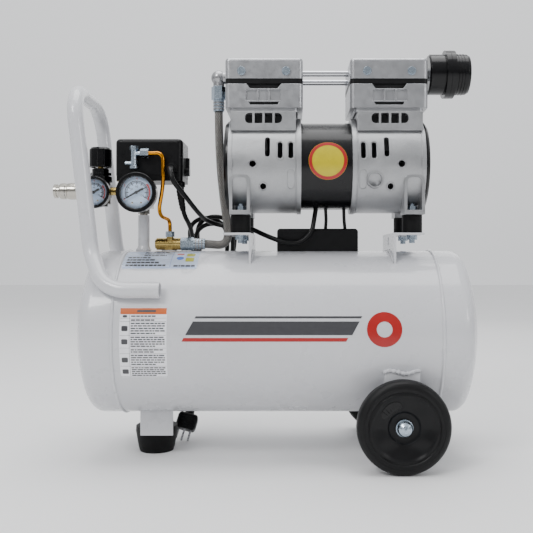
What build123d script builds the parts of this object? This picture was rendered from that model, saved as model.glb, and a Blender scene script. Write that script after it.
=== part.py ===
from build123d import *
import math
import os

# Twin-cylinder direct-drive air compressor on a horizontal tank. Millimetres, +Z up, front is -Y.
# Origin: on the floor under the centre of the object's box.

# ---- driving dimensions ----
SHIFT_X = 4.8                      # moves the layout frame so that the box centre is at X = 0
TANK_R, TANK_Z, TANK_T = 118.0, 177.2, 2.5
SEAM_L, SEAM_R = -200.0, 238.0     # barrel ends
DOME_L, DOME_R = 70.5, 67.0        # dished end depths
WHEEL_R, WHEEL_X, WHEEL_Z = 62.5, 185.0, 62.5
WHEEL_IN, WHEEL_OUT = 113.0, 140.0
AXLE_R = 6.0
FOOT_X = -163.0                    # rubber foot under the handle end
MOUNT_X = (-35.4, 209.4)           # rubber mounts of the pump
TUBE_R, TUBE_T = 11.0, 1.6         # carry handle tube
PUMP_X, SHAFT_Z = 87.0, 420.0      # pump centre and crankshaft height
CYL_X = -2.0                       # left cylinder axis, the right one is its mirror
DRUM_R, DRUM_IN = 69.0, 64.5
MOTOR_R = 63.9
CRANK_E, ECC_R = 5.0, 12.6         # crank throw and eccentric radius
BORE_R = 25.0
SLEEVE_Z = 485.5                   # bottom of the cylinder sleeves
RISER_X = -182.4
REG_X = -246.6
LINE_Z = 383.8                     # outlet line height
CORD_D = 7.0
RUN = 0.05                         # radial running clearance

os.makedirs("parts", exist_ok=True)


# ---- helpers ----
def cx(r, x0, x1, y=0.0, z=0.0):
    return Pos((x0 + x1) / 2, y, z) * Rot(0, 90, 0) * Cylinder(r, x1 - x0)


def cy(r, y0, y1, x=0.0, z=0.0):
    return Pos(x, (y0 + y1) / 2, z) * Rot(90, 0, 0) * Cylinder(r, y1 - y0)


def cz(r, z0, z1, x=0.0, y=0.0):
    return Pos(x, y, (z0 + z1) / 2) * Cylinder(r, z1 - z0)


def bx(x0, x1, y0, y1, z0, z1):
    return Pos((x0 + x1) / 2, (y0 + y1) / 2, (z0 + z1) / 2) * Box(x1 - x0, y1 - y0, z1 - z0)


def hexa(af, start, direction, length):
    return extrude(Plane(origin=start, z_dir=direction) * RegularPolygon(af / 2, 6, major_radius=False), length)


def rev_x(pts, y=0.0, z=0.0):
    return Pos(0, y, z) * revolve(make_face(Polyline(*pts, close=True)), Axis.X)


def rev_y(pts, x=0.0, z=0.0):
    # points are (r, y)
    return Pos(x, 0, z) * revolve(make_face(Polyline(*pts, close=True)), Axis.Y)


def rev_z(pts, x=0.0, y=0.0):
    # points are (r, z)
    return Pos(x, y, 0) * revolve(Plane.XZ * make_face(Polyline(*pts, close=True)), Axis.Z)


def mir_y(s):
    return mirror(s, about=Plane.XZ)


def mir_pump(s):
    return mirror(s, about=Plane((PUMP_X, 0, 0), z_dir=(1, 0, 0)))


def soft(s, picker, r):
    try:
        got = fillet(picker(s), r)
        return got if got.is_valid else s
    except Exception:
        print("fillet skipped", r)
        return s


def vsub(a, b):
    return tuple(p - q for p, q in zip(a, b))


def vlen(a):
    return math.sqrt(sum(p * p for p in a))


def radii_of(pts, share=0.45):
    out = []
    for a, b, c in zip(pts, pts[1:], pts[2:]):
        u, v = vsub(b, a), vsub(c, b)
        cosang = sum(p * q for p, q in zip(u, v)) / vlen(u) / vlen(v)
        turn = math.acos(max(-1, min(1, cosang)))
        out.append(share * min(vlen(u), vlen(v)) / math.tan(turn / 2))
    return out


def path_of(pts, name=""):
    # straight runs joined by tangent arcs, one radius per corner
    radii = radii_of(pts)
    print(name, "radii", [round(r, 1) for r in radii])
    edges, cur = [], Vector(*pts[0])
    for (a, b, c), r in zip(zip(pts, pts[1:], pts[2:]), radii):
        A, B, C = Vector(*a), Vector(*b), Vector(*c)
        u, v = (B - A).normalized(), (C - B).normalized()
        turn = math.acos(max(-1, min(1, u.dot(v))))
        t = r * math.tan(turn / 2)
        p, q = B - u * t, B + v * t
        mid_dir = (v - u).normalized()
        centre = B + mid_dir * (r / math.cos(turn / 2))
        mid = centre - mid_dir * r
        if (p - cur).length > 1e-6:
            edges.append(Line(cur, p))
        edges.append(ThreePointArc(p, mid, q))
        cur = q
    edges.append(Line(cur, Vector(*pts[-1])))
    return Wire([e.edge() if hasattr(e, "edge") else e for e in edges])


def tube(pts, d, name=""):
    w = path_of(pts, name)
    s = sweep(Plane(origin=w @ 0, z_dir=w % 0) * Circle(d / 2), path=w)
    print(name, "length", round(w.length, 1), "volume/(section x length)", round(s.volume / (math.pi * d * d / 4 * w.length), 4))
    return s


def out(name, *shapes):
    solids = []
    for s in shapes:
        solids += list(Pos(SHIFT_X, 0, 0) * q for q in s.solids())
    comp = Compound(children=solids) if len(solids) > 1 else solids[0]
    comp.label = name
    export_step(comp, f"parts/{name}.step")
    print(name, len(solids), round(sum(q.volume for q in solids)))


# ---- tank ----
tank_outer = cx(TANK_R, -400, 400, 0, TANK_Z)
riser_hole = cz(8.35, 285, 300, RISER_X, 0)
check_hole = cz(8.0, 285, 300, -145.5, 8)
drain_hole = cz(8.0, 50, 68, 165, 0)
barrel = cx(TANK_R, SEAM_L, SEAM_R, 0, TANK_Z) - cx(TANK_R - TANK_T, SEAM_L - 1, SEAM_R + 1, 0, TANK_Z)
barrel = barrel - riser_hole - check_hole - drain_hole
out("tank_barrel", barrel)


def dome(depth, st):
    # dished end: straight flange with a rolled bead, knuckle and crown
    rk, R, t = 18.0, TANK_R, TANK_T
    d = depth - st
    rc = (d * d + (R - rk) ** 2 - rk * rk) / (2 * (d - rk))
    ang = math.atan2(R - rk, rc - d)                 # direction of the tangent point from the crown centre

    def arcs(off):
        a, b = rk - off, rc - off
        kx, ky, cx0 = st, R - rk, st + d - rc
        k_mid = (ang + math.pi / 2) / 2
        t0 = (kx + a * math.cos(ang), ky + a * math.sin(ang))
        knuckle = ThreePointArc((st, R - off), (kx + a * math.cos(k_mid), ky + a * math.sin(k_mid)), t0)
        crown = ThreePointArc(t0, (cx0 + b * math.cos(ang / 2), b * math.sin(ang / 2)), (st + d - off, 0))
        return [knuckle, crown]

    e = [Line((0, R), (0.5, R)), ThreePointArc((0.5, R), (2.6, R + 2.1), (4.7, R)), Line((4.7, R), (st, R))] + arcs(0)
    e += [Line((st + d, 0), (st + d - t, 0))] + arcs(t) + [Line((st, R - t), (0, R - t)), Line((0, R - t), (0, R))]
    return revolve(make_face(e), Axis.X)


dome_r = Pos(SEAM_R, 0, TANK_Z) * dome(DOME_R, 29.5)
dome_l = Pos(SEAM_L, 0, TANK_Z) * Rot(0, 0, 180) * dome(DOME_L, 32.0)
out("tank_ends", dome_l, dome_r)

# riser, check-valve boss and drain boss
riser_flare = rev_z([(8.35, 290), (13.0, 290), (8.35, 303)], RISER_X, 0) - tank_outer
riser = (rev_z([(5.5, 290), (8.35, 290), (8.35, 348), (5.5, 348)], RISER_X, 0)) + riser_flare
boss_check = rev_z([(5.0, 289), (8.0, 289), (8.0, 293), (11.5, 293), (11.5, 296.4), (5.0, 296.4)], -145.5, 8)
boss_check = boss_check - (tank_outer - cz(8.0, 280, 300, -145.5, 8))
boss_drain = rev_z([(5.0, 64), (8.0, 64), (8.0, 60), (11.0, 60), (11.0, 55), (5.0, 55)], 165, 0)
boss_drain = boss_drain - (tank_outer - cz(8.0, 50, 70, 165, 0))
out("tank_ports", riser, boss_check, boss_drain)

# drain cock under the tank
out("drain_valve_body", hexa(17, (165, 0, 49), (0, 0, 1), 6) + cz(4.95, 55, 62, 165, 0) + cz(6.0, 41, 49, 165, 0) - cz(1.8, 40, 63, 165, 0) - cy(3.05, -7, 0, 165, 45))
out("drain_valve_knob", cy(3.0, -11, -1, 165, 45) + bx(159, 171, -15, -11, 43.4, 46.6))

# ---- wheel brackets and foot bracket ----
def wheel_bracket():
    s = bx(161.6, 209.4, -111, -108, 45, 131)
    s += bx(161.6, 164.6, -108, -40, 45, 131) + bx(206.4, 209.4, -108, -40, 45, 131)
    s -= extrude(Plane.YZ.offset(150) * make_face(Polyline((-96, 44), (-30, 44), (-30, 92), close=True)), 80)
    s = s - tank_outer
    s -= cy(AXLE_R, -120, -100, WHEEL_X, WHEEL_Z)
    return max(s.solids(), key=lambda q: q.volume)


wb = wheel_bracket()
fb = bx(-180.5, -133.6, -35, -32, 29, 80) + bx(-179, -147, 32, 35, 29, 80) + bx(-179, -147, -35, 35, 37, 40)
fb = fb - tank_outer - cz(4.2, 30, 45, FOOT_X, 0)
fb = max(fb.solids(), key=lambda q: q.volume)
out("undercarriage", fb, wb, mir_y(wb))
out("rubber_foot", rev_z([(9, 0), (24.5, 0), (26.5, 6), (30.7, 30), (30.2, 37), (4.2, 37), (4.2, 26), (13, 26), (13, 8)], FOOT_X, 0))
foot_bolt = cz(4.1, 22.5, 46, FOOT_X, 0) + cz(8, 20, 26, FOOT_X, 0) + hexa(13, (FOOT_X, 0, 40), (0, 0, 1), 6)

# ---- wheels ----
hub_r = 43.0
hub = rev_y([
    (AXLE_R + RUN, -WHEEL_IN), (16, -WHEEL_IN), (16, -118), (38, -118), (38, -115), (hub_r, -115),
    (hub_r, -138.5), (40, -138.5), (22, -134), (21, -131), (14, -131), (14, -133), (AXLE_R + RUN, -133)], WHEEL_X, WHEEL_Z)
tyre = rev_y([
    (hub_r, -115), (58, -114), (61.5, -117), (WHEEL_R, -121), (WHEEL_R, -133), (61.5, -137), (58, -139.7),
    (46, -WHEEL_OUT), (hub_r, -138.5)], WHEEL_X, WHEEL_Z)
out("front_wheel", hub, tyre)
out("rear_wheel", mir_y(hub), mir_y(tyre))
bolt = cy(AXLE_R, -136.5, -104, WHEEL_X, WHEEL_Z) + hexa(17, (WHEEL_X, -104, WHEEL_Z), (0, 1, 0), 7)
bolt += cy(10, -112.6, -111, WHEEL_X, WHEEL_Z)
nut = rev_y([(AXLE_R, -136.5), (AXLE_R, -133.4), (11.4, -133.4), (11.4, -135), (10.3, -135), (10.5, -138.5), (8.5, -142.2), (5, -144.6), (0, -145.5), (0, -136.5)], WHEEL_X, WHEEL_Z)
out("axle_hardware", bolt, mir_y(bolt), nut, mir_y(nut))

# ---- carry handle ----
H = [(-138.8, -111.2, 242), (-213, -111.2, 242), (-240.5, -76, 293), (-266.5, -76, 521)]
hp = H + [(x, -y, z) for x, y, z in reversed(H)]
hpath = FilletPolyline(*hp, radius=45)
hs = sweep(Plane(origin=hpath @ 0, z_dir=hpath % 0) * Circle(TUBE_R), path=hpath) - sweep(Plane(origin=hpath @ 0, z_dir=hpath % 0) * Circle(TUBE_R - TUBE_T), path=hpath)
hs = hs - tank_outer - cx(TANK_R, SEAM_L - 32, SEAM_L, 0, TANK_Z) - dome_l
out("carry_handle", max(hs.solids(), key=lambda q: q.volume))

# ---- pump brackets, mounts ----
def pump_bracket(x_web, sx, x_end, mx):
    # upright web on the tank with two shelves turned outwards
    w0, w1 = sorted((x_web, x_web + sx * 3))
    s = bx(w0, w1, -64, 64, 270, 320.3)
    t0, t1 = sorted((x_web, x_end))
    for y0, y1 in ((-64, -22), (22, 64)):
        s += bx(t0, t1, y0, y1, 317.3, 320.3)
    s = s - tank_outer
    for y in (-43, 43):
        s -= cz(4.2, 310, 325, mx, y)
    s -= cx(7, w0 - 1, w1 + 1, 0, 309)
    return max(s.solids(), key=lambda q: q.volume)


out("pump_brackets", pump_bracket(-22.6, 1, -58.8, MOUNT_X[0]), pump_bracket(184.0, -1, 223.8, MOUNT_X[1]))
mounts, nuts = [], []
for x in MOUNT_X:
    for y in (-43, 43):
        mounts.append(rev_z([(0, 320.3), (14.1, 320.3), (14.3, 322), (14.3, 344.3), (14.1, 346), (0, 346)], x, y))
        nuts.append(cz(4.1, 306, 320.3, x, y) + hexa(13, (x, y, 310.8), (0, 0, 1), 6.5))
        nuts.append(cz(4.1, 346, 362, x, y) + hexa(13, (x, y, 352), (0, 0, 1), 6.5))
out("rubber_mounts", *mounts)

# ---- crankcase ----
def crankcase():
    s = cx(DRUM_R, -52, 51, 0, SHAFT_Z) + cx(DRUM_R + 1.6, 45, 51, 0, SHAFT_Z)
    block = bx(-48.7, 43.5, -57, 57, 465, 492)
    s += block
    # arched feet, open at the front over the mount's nut
    for sg in (-1, 1):
        ya, yb = sorted((sg * 66.5, sg * 29))
        yc, yd = sorted((sg * 68, sg * 34.5))
        foot = soft(bx(-50, -21, ya, yb, 346, 402), lambda q: q.edges().filter_by(Axis.Y).group_by(Axis.Z)[-1], 9)
        pocket = soft(bx(-45.7, -25.3, yc, yd, 352, 398), lambda q: q.edges().filter_by(Axis.Y).group_by(Axis.Z)[-1], 7)
        s += foot - (pocket - cx(DRUM_R, -60, 60, 0, SHAFT_Z)) - cz(4.2, 345, 353, MOUNT_X[0], sg * 43)
    s -= cx(DRUM_IN, -53, 44, 0, SHAFT_Z)
    s -= cx(16, 40, 60, 0, SHAFT_Z)
    s -= cz(28, SLEEVE_Z, 500, CYL_X, 0)
    s -= cz(26, 440, 500, CYL_X, 0)
    # front and rear windows with three bars
    for sg in (-1, 1):
        ya, yb = sorted((sg * 57.5, sg * 44))
        win = bx(-28.4, 23.8, ya, yb, 475, 489.5)
        win = soft(win, lambda q: q.edges().filter_by(Axis.Y), 6)
        for xb in (-16.5, -2.3, 11.9):
            win -= bx(xb - 1.6, xb + 1.6, ya, yb, 470, 495)
        s -= win
    # front face pockets
    for x0, x1, z0, z1 in ((0.1, 7.1, 426.3, 454.4), (17.9, 24.7, 423.8, 447), (32.9, 39.7, 423.8, 447)):
        sl = soft(bx(x0, x1, -75, -55, z0, z1), lambda q: q.edges().filter_by(Axis.Y), 3.2)
        s -= sl
    s -= cy(4.7, -75, -55, -17.1, 416.4)
    s -= cy(4.2, -75, -52, -2.7, 385.6)
    s += bx(-51.5, -45.2, -71.5, -66, 410, 422)
    return max(s.solids(), key=lambda q: q.volume)


ccl = crankcase()
ccr = mir_pump(ccl)
ring_boss = (cy(11.8, -70.5, -60, 154.3, 393.8) - cy(9.6, -75, -55, 154.3, 393.8)) - cx(DRUM_R - 1, 100, 240, 0, SHAFT_Z)
ccr = ccr + ring_boss
out("crankcases", ccl, max(ccr.solids(), key=lambda q: q.volume))

# ---- cylinder blocks, plates, heads ----
def cyl_block():
    s = bx(-57, 53.5, -52, 52, 498, 532)
    s = soft(s, lambda q: q.edges().filter_by(Axis.Z), 6)
    s += soft(bx(-50.5, 46.5, -49, 49, 492, 498), lambda q: q.edges().filter_by(Axis.Z), 5)
    s -= cz(28, 480, 540, CYL_X, 0)
    for sg in (-1, 1):
        ya, yb = sorted((sg * 52.5, sg * 48.5))
        rec = bx(-27.4, 21.7, ya, yb, 508, 524)
        for xb in (-11, 5):
            rec -= bx(xb - 1.2, xb + 1.2, ya, yb, 505, 526)
        s -= rec
        yc, yd = sorted((sg * 52.5, sg * 38))
        s -= extrude(Plane.XZ.offset(-yd) * make_face(Polyline((-27, 532.5), (-21.5, 525), (17.5, 525), (23, 532.5), close=True)), yd - yc)
        s -= extrude(Plane.XZ.offset(-yd) * make_face(Polyline((-24, 506.4), (-21, 502), (17, 502), (20, 506.4), close=True)), yd - yc)
    return s


cbl = cyl_block()
out("cylinder_blocks", cbl, mir_pump(cbl))
sleeve = cz(28, SLEEVE_Z, 532, CYL_X, 0) - cz(BORE_R, SLEEVE_Z - 1, 533, CYL_X, 0)
out("cylinder_sleeves", sleeve, mir_pump(sleeve))
vp = soft(bx(-57, 53.5, -52, 52, 532, 539.4), lambda q: q.edges().filter_by(Axis.Z), 6) - cz(5, 530, 541, -14, 0) - cz(5, 530, 541, 10, 0)
out("valve_plates", vp, mir_pump(vp))


def head():
    s = soft(bx(-57, 53.5, -52, 52, 539.4, 569.3), lambda q: q.edges().filter_by(Axis.Z), 6)
    s = soft(s, lambda q: q.edges().group_by(Axis.Z)[-1], 5)
    s -= bx(-48, -5, -44, 44, 539, 562) + bx(1, 44.5, -44, 44, 539, 562)
    for x in (-33.9, 29.4):
        for sg in (-1, 1):
            ya, yb = sorted((sg * 53, sg * 46))
            s -= cy(2.5, ya, yb, x, 550)
    s -= cx(4.5, 40, 60, -8, 556.5) + cx(4.5, 40, 60, 8, 547)
    return s


hl = head()
hr_ = mir_pump(hl)
hl = hl - cx(6, -60, -46, 0, 552)
hr_ = hr_ - cx(5, 220, 235, 0, 557)
out("cylinder_heads", hl, hr_)
NIP = cx(5, 224, 243, 0, 557) + hexa(16, (231.0, 0, 557), (1, 0, 0), 8) - cx(3.2, 220, 250, 0, 557)
scr = []
for x in (-33.9, 29.4, 2 * PUMP_X + 33.9, 2 * PUMP_X - 29.4):
    for sg in (-1, 1):
        ya, yb = sorted((sg * 52, sg * 47))
        scr.append(cy(2.5, ya, yb, x, 550) + hexa(10, (x, sg * 52, 550), (0, sg, 0), 3.6) + cy(6, *sorted((sg * 52, sg * 53.2)), x, 550))
out("fasteners", foot_bolt, *nuts, *scr)
out("head_pipes", NIP, cx(4.5, 49, 125, -8, 556.5) - cx(3.5, 48, 126, -8, 556.5), cx(4.5, 49, 125, 8, 547) - cx(3.5, 48, 126, 8, 547))

# ---- shaft, bearings, motor ----
shaft = cx(7, -45, 219, 0, SHAFT_Z)
shaft += cx(ECC_R, CYL_X - 6, CYL_X + 6, 0, SHAFT_Z - CRANK_E)
shaft += cx(ECC_R, 176 - 6, 176 + 6, 0, SHAFT_Z + CRANK_E)
out("motor_shaft", shaft)
brg = cx(16, 44, 51, 0, SHAFT_Z) - cx(7 + RUN, 43, 52, 0, SHAFT_Z)
out("main_bearings", brg, mir_pump(brg))
out("motor_shell", cx(MOTOR_R, 51, 123, 0, SHAFT_Z) - cx(61.9, 50, 124, 0, SHAFT_Z))
out("stator", cx(61.9, 64, 110, 0, SHAFT_Z) - cx(38, 60, 120, 0, SHAFT_Z), cx(58, 55, 64, 0, SHAFT_Z) - cx(41, 50, 70, 0, SHAFT_Z), cx(58, 110, 119, 0, SHAFT_Z) - cx(41, 100, 125, 0, SHAFT_Z))
out("rotor_core", cx(37.2, 62, 112, 0, SHAFT_Z) - cx(7, 60, 120, 0, SHAFT_Z))

# ---- pistons: disc, rod and an oversize big-end eye that leaves the crank open ----
def piston():
    s = cz(BORE_R - RUN, 508, 518, CYL_X, 0) + cz(21, 505, 508, CYL_X, 0)
    s += bx(CYL_X - 4, CYL_X + 4, -9, 9, 440, 506)
    slot_o = cx(24.2, CYL_X - 5, CYL_X + 5, 0, SHAFT_Z) + cx(24.2, CYL_X - 5, CYL_X + 5, 0, SHAFT_Z - 10) + bx(CYL_X - 5, CYL_X + 5, -24.2, 24.2, SHAFT_Z - 10, SHAFT_Z)
    slot_i = cx(18.2, CYL_X - 9, CYL_X + 9, 0, SHAFT_Z) + cx(18.2, CYL_X - 9, CYL_X + 9, 0, SHAFT_Z - 10) + bx(CYL_X - 9, CYL_X + 9, -18.2, 18.2, SHAFT_Z - 10, SHAFT_Z)
    s = s + slot_o - slot_i
    return max(s.solids(), key=lambda q: q.volume)


pl = piston()
out("piston_left", pl)
out("piston_right", mir_pump(pl))

# ---- fans and covers ----
def fan():
    s = cx(12, -44, -26, 0, SHAFT_Z) + cx(57, -28, -26, 0, SHAFT_Z)
    for k in range(9):
        b = bx(-44, -27, -1.1, 1.1, 18, 56)
        s += Pos(0, 0, SHAFT_Z) * Rot(40 * k, 0, 0) * b
    s += cx(19.5, -44, -42, 0, SHAFT_Z)
    return s - cx(7, -46, -20, 0, SHAFT_Z)


fl = fan()
out("cooling_fans", fl, mir_pump(fl))


def fan_cover():
    s = rev_x([(-47, 64.3), (-47, 62), (-55.5, 61), (-56.5, 0), (-59.2, 0), (-59.7, 52), (-58.2, 63), (-55, 66.4), (-52, 66.8), (-52, 64.3)], 0, SHAFT_Z)
    for k in range(16):
        s -= Pos(0, 0, SHAFT_Z) * Rot(22.5 * k, 0, 0) * soft(bx(-62, -50, -3.4, 3.4, 24, 54), lambda q: q.edges().filter_by(Axis.X), 3.2)
    s -= cx(5.5, -50, -46, 0, SHAFT_Z)
    return s


fc = fan_cover()
out("fan_covers", fc, mir_pump(fc))

# ---- intake filter ----
filt = rev_x([(239, 5), (239, 27), (241, 29.5), (263, 29.5), (263, 35), (269.8, 35), (269.8, 26.5), (243, 26.5), (243, 5)], 0, 557)
out("air_filter_body", filt)
out("air_filter_cover", rev_x([(270, 0), (270, 35), (277, 35), (277, 29.5), (295, 29.5), (298.6, 27.5), (300, 23), (300, 0)], 0, 557) - rev_x([(269, 0), (269, 26.5), (296, 26.5), (296, 0)], 0, 557) + (cx(31, 269.8, 270, 0, 557) - cx(27, 269, 271, 0, 557)))
out("air_filter_element", cx(24.5, 243, 295.9, 0, 557) - cx(12, 242, 297, 0, 557))

# ---- discharge line ----
HX = -71.0
HOSE_Z = 305.5
elb = cx(6, -57, -49, 0, 552) + cx(9, HX, -57, 0, 552) + Pos(HX, 0, 552) * Sphere(11.2) + cz(8.2, 538.6, 552, HX, 0)
elb = elb - cx(4, HX, -40, 0, 552) - cz(4, 535, 552, HX, 0)
out("discharge_elbow", elb)
hose_pts = [(HX, 0, 502), (-70.6, 0.8, 430), (-68.2, 3.2, 352), (-54.5, 6, HOSE_Z), (-92, 6, HOSE_Z)]
hn = [hexa(19, (HX, 0, 519.6), (0, 0, 1), 19) - cz(4, 510, 545, HX, 0), cz(8.2, 502, 519.6, HX, 0) - cz(4, 500, 525, HX, 0)]
hn2 = [cx(8.0, -109, -92, 6, HOSE_Z) - cx(4, -110, -90, 6, HOSE_Z), hexa(17, (-128, 6, HOSE_Z), (1, 0, 0), 19) - cx(4, -130, -100, 6, HOSE_Z)]
out("braided_hose", tube(hose_pts, 12.3, "hose"))
cv = cx(9.0, -164, -128, 6, HOSE_Z) + cx(7, -166, -164, 6, HOSE_Z) + hexa(19, (-145.5, 8, 296.4), (0, 0, 1), 7)
cv += cz(4.9, 290, 297.5, -145.5, 8) + cz(5.2, 303, 316, -144, 3)
cv = cv - cx(4, -150, -120, 6, HOSE_Z) - boss_check - (tank_outer - cz(8, 280, 300, -145.5, 8))
out("check_valve", cv)

# ---- unloader ----
ul_pts = [(-166.4, -45, 434), (-146.5, -45, 434.5), (-145.5, -44, 392), (-156, -30, 347), (-144.3, 3, 341), (-144, 3, 324)]
out("unloader_tube", tube(ul_pts, 5.7, "unloader"))
ulv = cz(4.2, 416, 438, -187.5, -45) + hexa(11, (-187.5, -45, 438), (0, 0, 1), 6) + cz(6, 412, 416, -187.5, -45)
ulv = ulv + cy(3.2, -44, -35, -187.5, 424) + cx(2.4, -200, -187.5, -45, 420) + cx(3.0, -187.5, -178, -45, 434)
out("line_fittings", hn[0], hn[1], hn2[0], hn2[1], ulv, hexa(12, (-178, -45, 434), (1, 0, 0), 11.6), hexa(11.5, (-144, 3, 316), (0, 0, 1), 8))

# ---- pressure switch ----
sb = soft(bx(-216.5, -120.2, -34.5, 29.5, 396, 404), lambda q: q.edges().filter_by(Axis.Z), 7)
mech = bx(-206, -136, -24, 20, 404, 432) + cz(14, 432, 446, -185, -2) + bx(-160, -140, -20, 14, 432, 440)
sb = sb + mech - cz(5, 390, 410, RISER_X, 0)
out("switch_base", sb)
sc = bx(-217, -119.7, -35, 30, 404, 457)
sc = soft(sc, lambda q: q.edges().filter_by(Axis.Z), 8)
sc = soft(sc, lambda q: q.edges().group_by(Axis.Z)[-1], 6)
sc -= soft(bx(-214.2, -122.5, -32.2, 27.2, 403, 454.2), lambda q: q.edges().filter_by(Axis.Z), 5)
LEV_Y, LEV_Z = -4.0, 412.0
sc -= cx(4 + RUN, -125, -118, LEV_Y, LEV_Z)
sc -= cy(5.5, -37, -30, -134, 413)
out("switch_cover", sc)
lev = cx(4, -126, -113.6, LEV_Y, LEV_Z) + bx(-119.2, -113.6, LEV_Y - 4.5, LEV_Y + 4.5, LEV_Z, LEV_Z + 20) + cx(6.5, -119.2, -113.6, LEV_Y, LEV_Z)
out("switch_lever", lev)

# ---- manifold and outlet line ----
man = soft(bx(-195.4, -169.4, -13, 13, 358, 394), lambda q: q.edges().filter_by(Axis.Z), 3)
man += cz(6, 348, 358, RISER_X, 0) + cz(4.95, 394, 408, RISER_X, 0) + hexa(15, (RISER_X, 0, 350), (0, 0, 1), 8)
man += cy(8, -20, -13, RISER_X, 377.6)
man -= cz(3, 345, 410, RISER_X, 0)
man -= cy(4.5, -21, -8, RISER_X, 377.6) + cy(4.5, 8, 14, RISER_X, 374)
man -= cx(6, -196, -188, 0, LINE_Z)
out("manifold", man)
out("outlet_nipple", cx(6, -234, -190, 0, LINE_Z) + hexa(16, (-219, 0, LINE_Z), (1, 0, 0), 10) - cx(3, -240, -180, 0, LINE_Z))

reg = cz(14.5, 365, 403, REG_X, 0) + cz(10.5, 361, 365, REG_X, 0) + cz(17, 397, 405, REG_X, 0)
reg += cx(10.5, -261.4, -231.4, 0, LINE_Z) + cy(8, -20, 0, REG_X, 379)
reg += cz(12.5, 405, 407, REG_X, 0)
reg -= cy(4.5, -21, -12, REG_X, 379) + cx(6, -236, -228, 0, LINE_Z) + cx(5, -262, -254, 0, LINE_Z)
reg -= cz(4 + RUN, 395, 410, REG_X, 0)
out("regulator_body", reg, hexa(27, (REG_X, 0, 407), (0, 0, 1), 4) + cz(12.6, 411, 416.5, REG_X, 0) - cz(4 + RUN, 400, 420, REG_X, 0))
out("regulator_screw", cz(4, 396, 440, REG_X, 0))
knob = rev_z([(4 + RUN, 419), (8, 419), (8, 436), (14, 436), (14, 419), (16.3, 419), (16.3, 445), (14, 448), (0, 448), (0, 441), (4 + RUN, 441)], REG_X, 0)
for k in range(12):
    a = math.radians(30 * k)
    knob -= cz(1.5, 421, 449, REG_X + 17.2 * math.cos(a), 17.2 * math.sin(a))
out("regulator_knob", knob)

# quick coupler
cpl = hexa(19, (-270, 0, LINE_Z), (1, 0, 0), 8.6) + cx(9, -312, -270, 0, LINE_Z) + cx(10.4, -314.6, -310.6, 0, LINE_Z) + cx(5, -261.4, -255, 0, LINE_Z)
cpl -= cx(5, -316, -296.6, 0, LINE_Z) + cx(3, -300, -250, 0, LINE_Z)
out("coupler_body", cpl)
slv = rev_x([(-306, 9 + RUN), (-306, 11.2), (-304, 12), (-298, 12), (-297, 11.2), (-295, 11.2), (-294, 12), (-279, 12), (-277.5, 11), (-277.5, 9 + RUN)], 0, LINE_Z)
out("coupler_sleeve", slv)

# ---- gauges ----
def gauge(x, z, r, ro, yf, depth, y_stem):
    yb = yf + depth
    case = rev_y([(0, yb), (r - 3, yb), (r - 1, yb - 1.5), (r - 1, yf + 3), (r, yf + 2.6), (r, yf + 0.8), (r - 0.8, yf), (ro + 1, yf), (ro, yf + 0.9), (ro, yf + 6.6), (0, yf + 6.6)], x, z)
    case -= cy(1.05, yf + 6, yf + 10, x, z)
    case += hexa(12, (x, yb, z), (0, 1, 0), 6) + cy(4.5, yb, y_stem, x, z)
    lens = cy(ro, yf + 1.2, yf + 2.6, x, z)
    a = math.radians(209)
    nd = Pos(x, yf + 4.2, z) * Rot(90, 0, 0) * extrude(
        Rot(0, 0, math.degrees(a)) * make_face(Polyline((ro * 0.9, 0.3), (0, 0.95), (-r * 0.12, 1.5), (-r * 0.4, 1.5), (-r * 0.4, -1.5), (-r * 0.12, -1.5), (0, -0.95), (ro * 0.9, -0.3), close=True)), 0.9, both=False)
    nd += cy(2.3, yf + 3.0, yf + 4.4, x, z) + cy(1.0, yf + 4, yf + 9, x, z)
    return case, lens, nd


gc1, gl1, gn1 = gauge(RISER_X, 377.6, 28.5, 23.0, -58, 22.5, -8)
gc2, gl2, gn2 = gauge(REG_X, 379.0, 23.2, 19.3, -44, 18, -12)
out("gauge_cases", gc1, gc2)
out("gauge_lenses", gl1, gl2)
out("tank_gauge_needle", gn1)
out("outlet_gauge_needle", gn2)

# ---- safety valve at the back of the manifold ----
sv = hexa(17, (RISER_X, 13, 374), (0, 1, 0), 7) + cy(4.45, 8, 13, RISER_X, 374) + cy(6.8, 20, 44, RISER_X, 374) - cy(1.5 + RUN, 26, 46, RISER_X, 374)
out("safety_valve", sv)
out("safety_ring", cy(1.5, 30, 51, RISER_X, 374) + Pos(RISER_X, 59, 374) * Rot(0, 90, 0) * Torus(9, 1.3))

# ---- electrics ----
cb = bx(16, 135, -12, 38, 285, 328) - tank_outer
cb = soft(cb, lambda q: q.edges().group_by(Axis.Z)[-1], 5)
out("capacitor_box", cb)
lead_a = tube([(88, 6, 328), (89, 5, 341), (88, 2, 356.0)], 5, "lead a")
lead_b = tube([(117, 4, 328), (115.5, 3, 341), (115, 1, 356.0)], 5, "lead b")
mc_pts = [(-134, -47, 413), (-133.5, -67, 410), (-127, -76, 391), (-114, -58, 374), (-102, -18, 354), (-93, 18, 342), (-76, 36, 335), (-52, 24, 332), (-26, 2, 330), (-2, -13, 318), (24, -20, 308), (48, -21, 305.5), (67, -20.5, 321), (73, -9, 356.6)]
out("motor_wiring", tube(mc_pts, CORD_D, "motor cable"), lead_a, lead_b)
mg = cy(7.5, -44, -35, -134, 413) + cy(5.5, -35, -29, -134, 413) + hexa(15, (-134, -35, 413), (0, -1, 0), 5) + cy(6, -47, -44, -134, 413)
pg = cz(7.5, 389, 396, -127, -10) + cz(5.8, 386, 389, -127, -10)
out("cable_glands", mg, pg)

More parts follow.
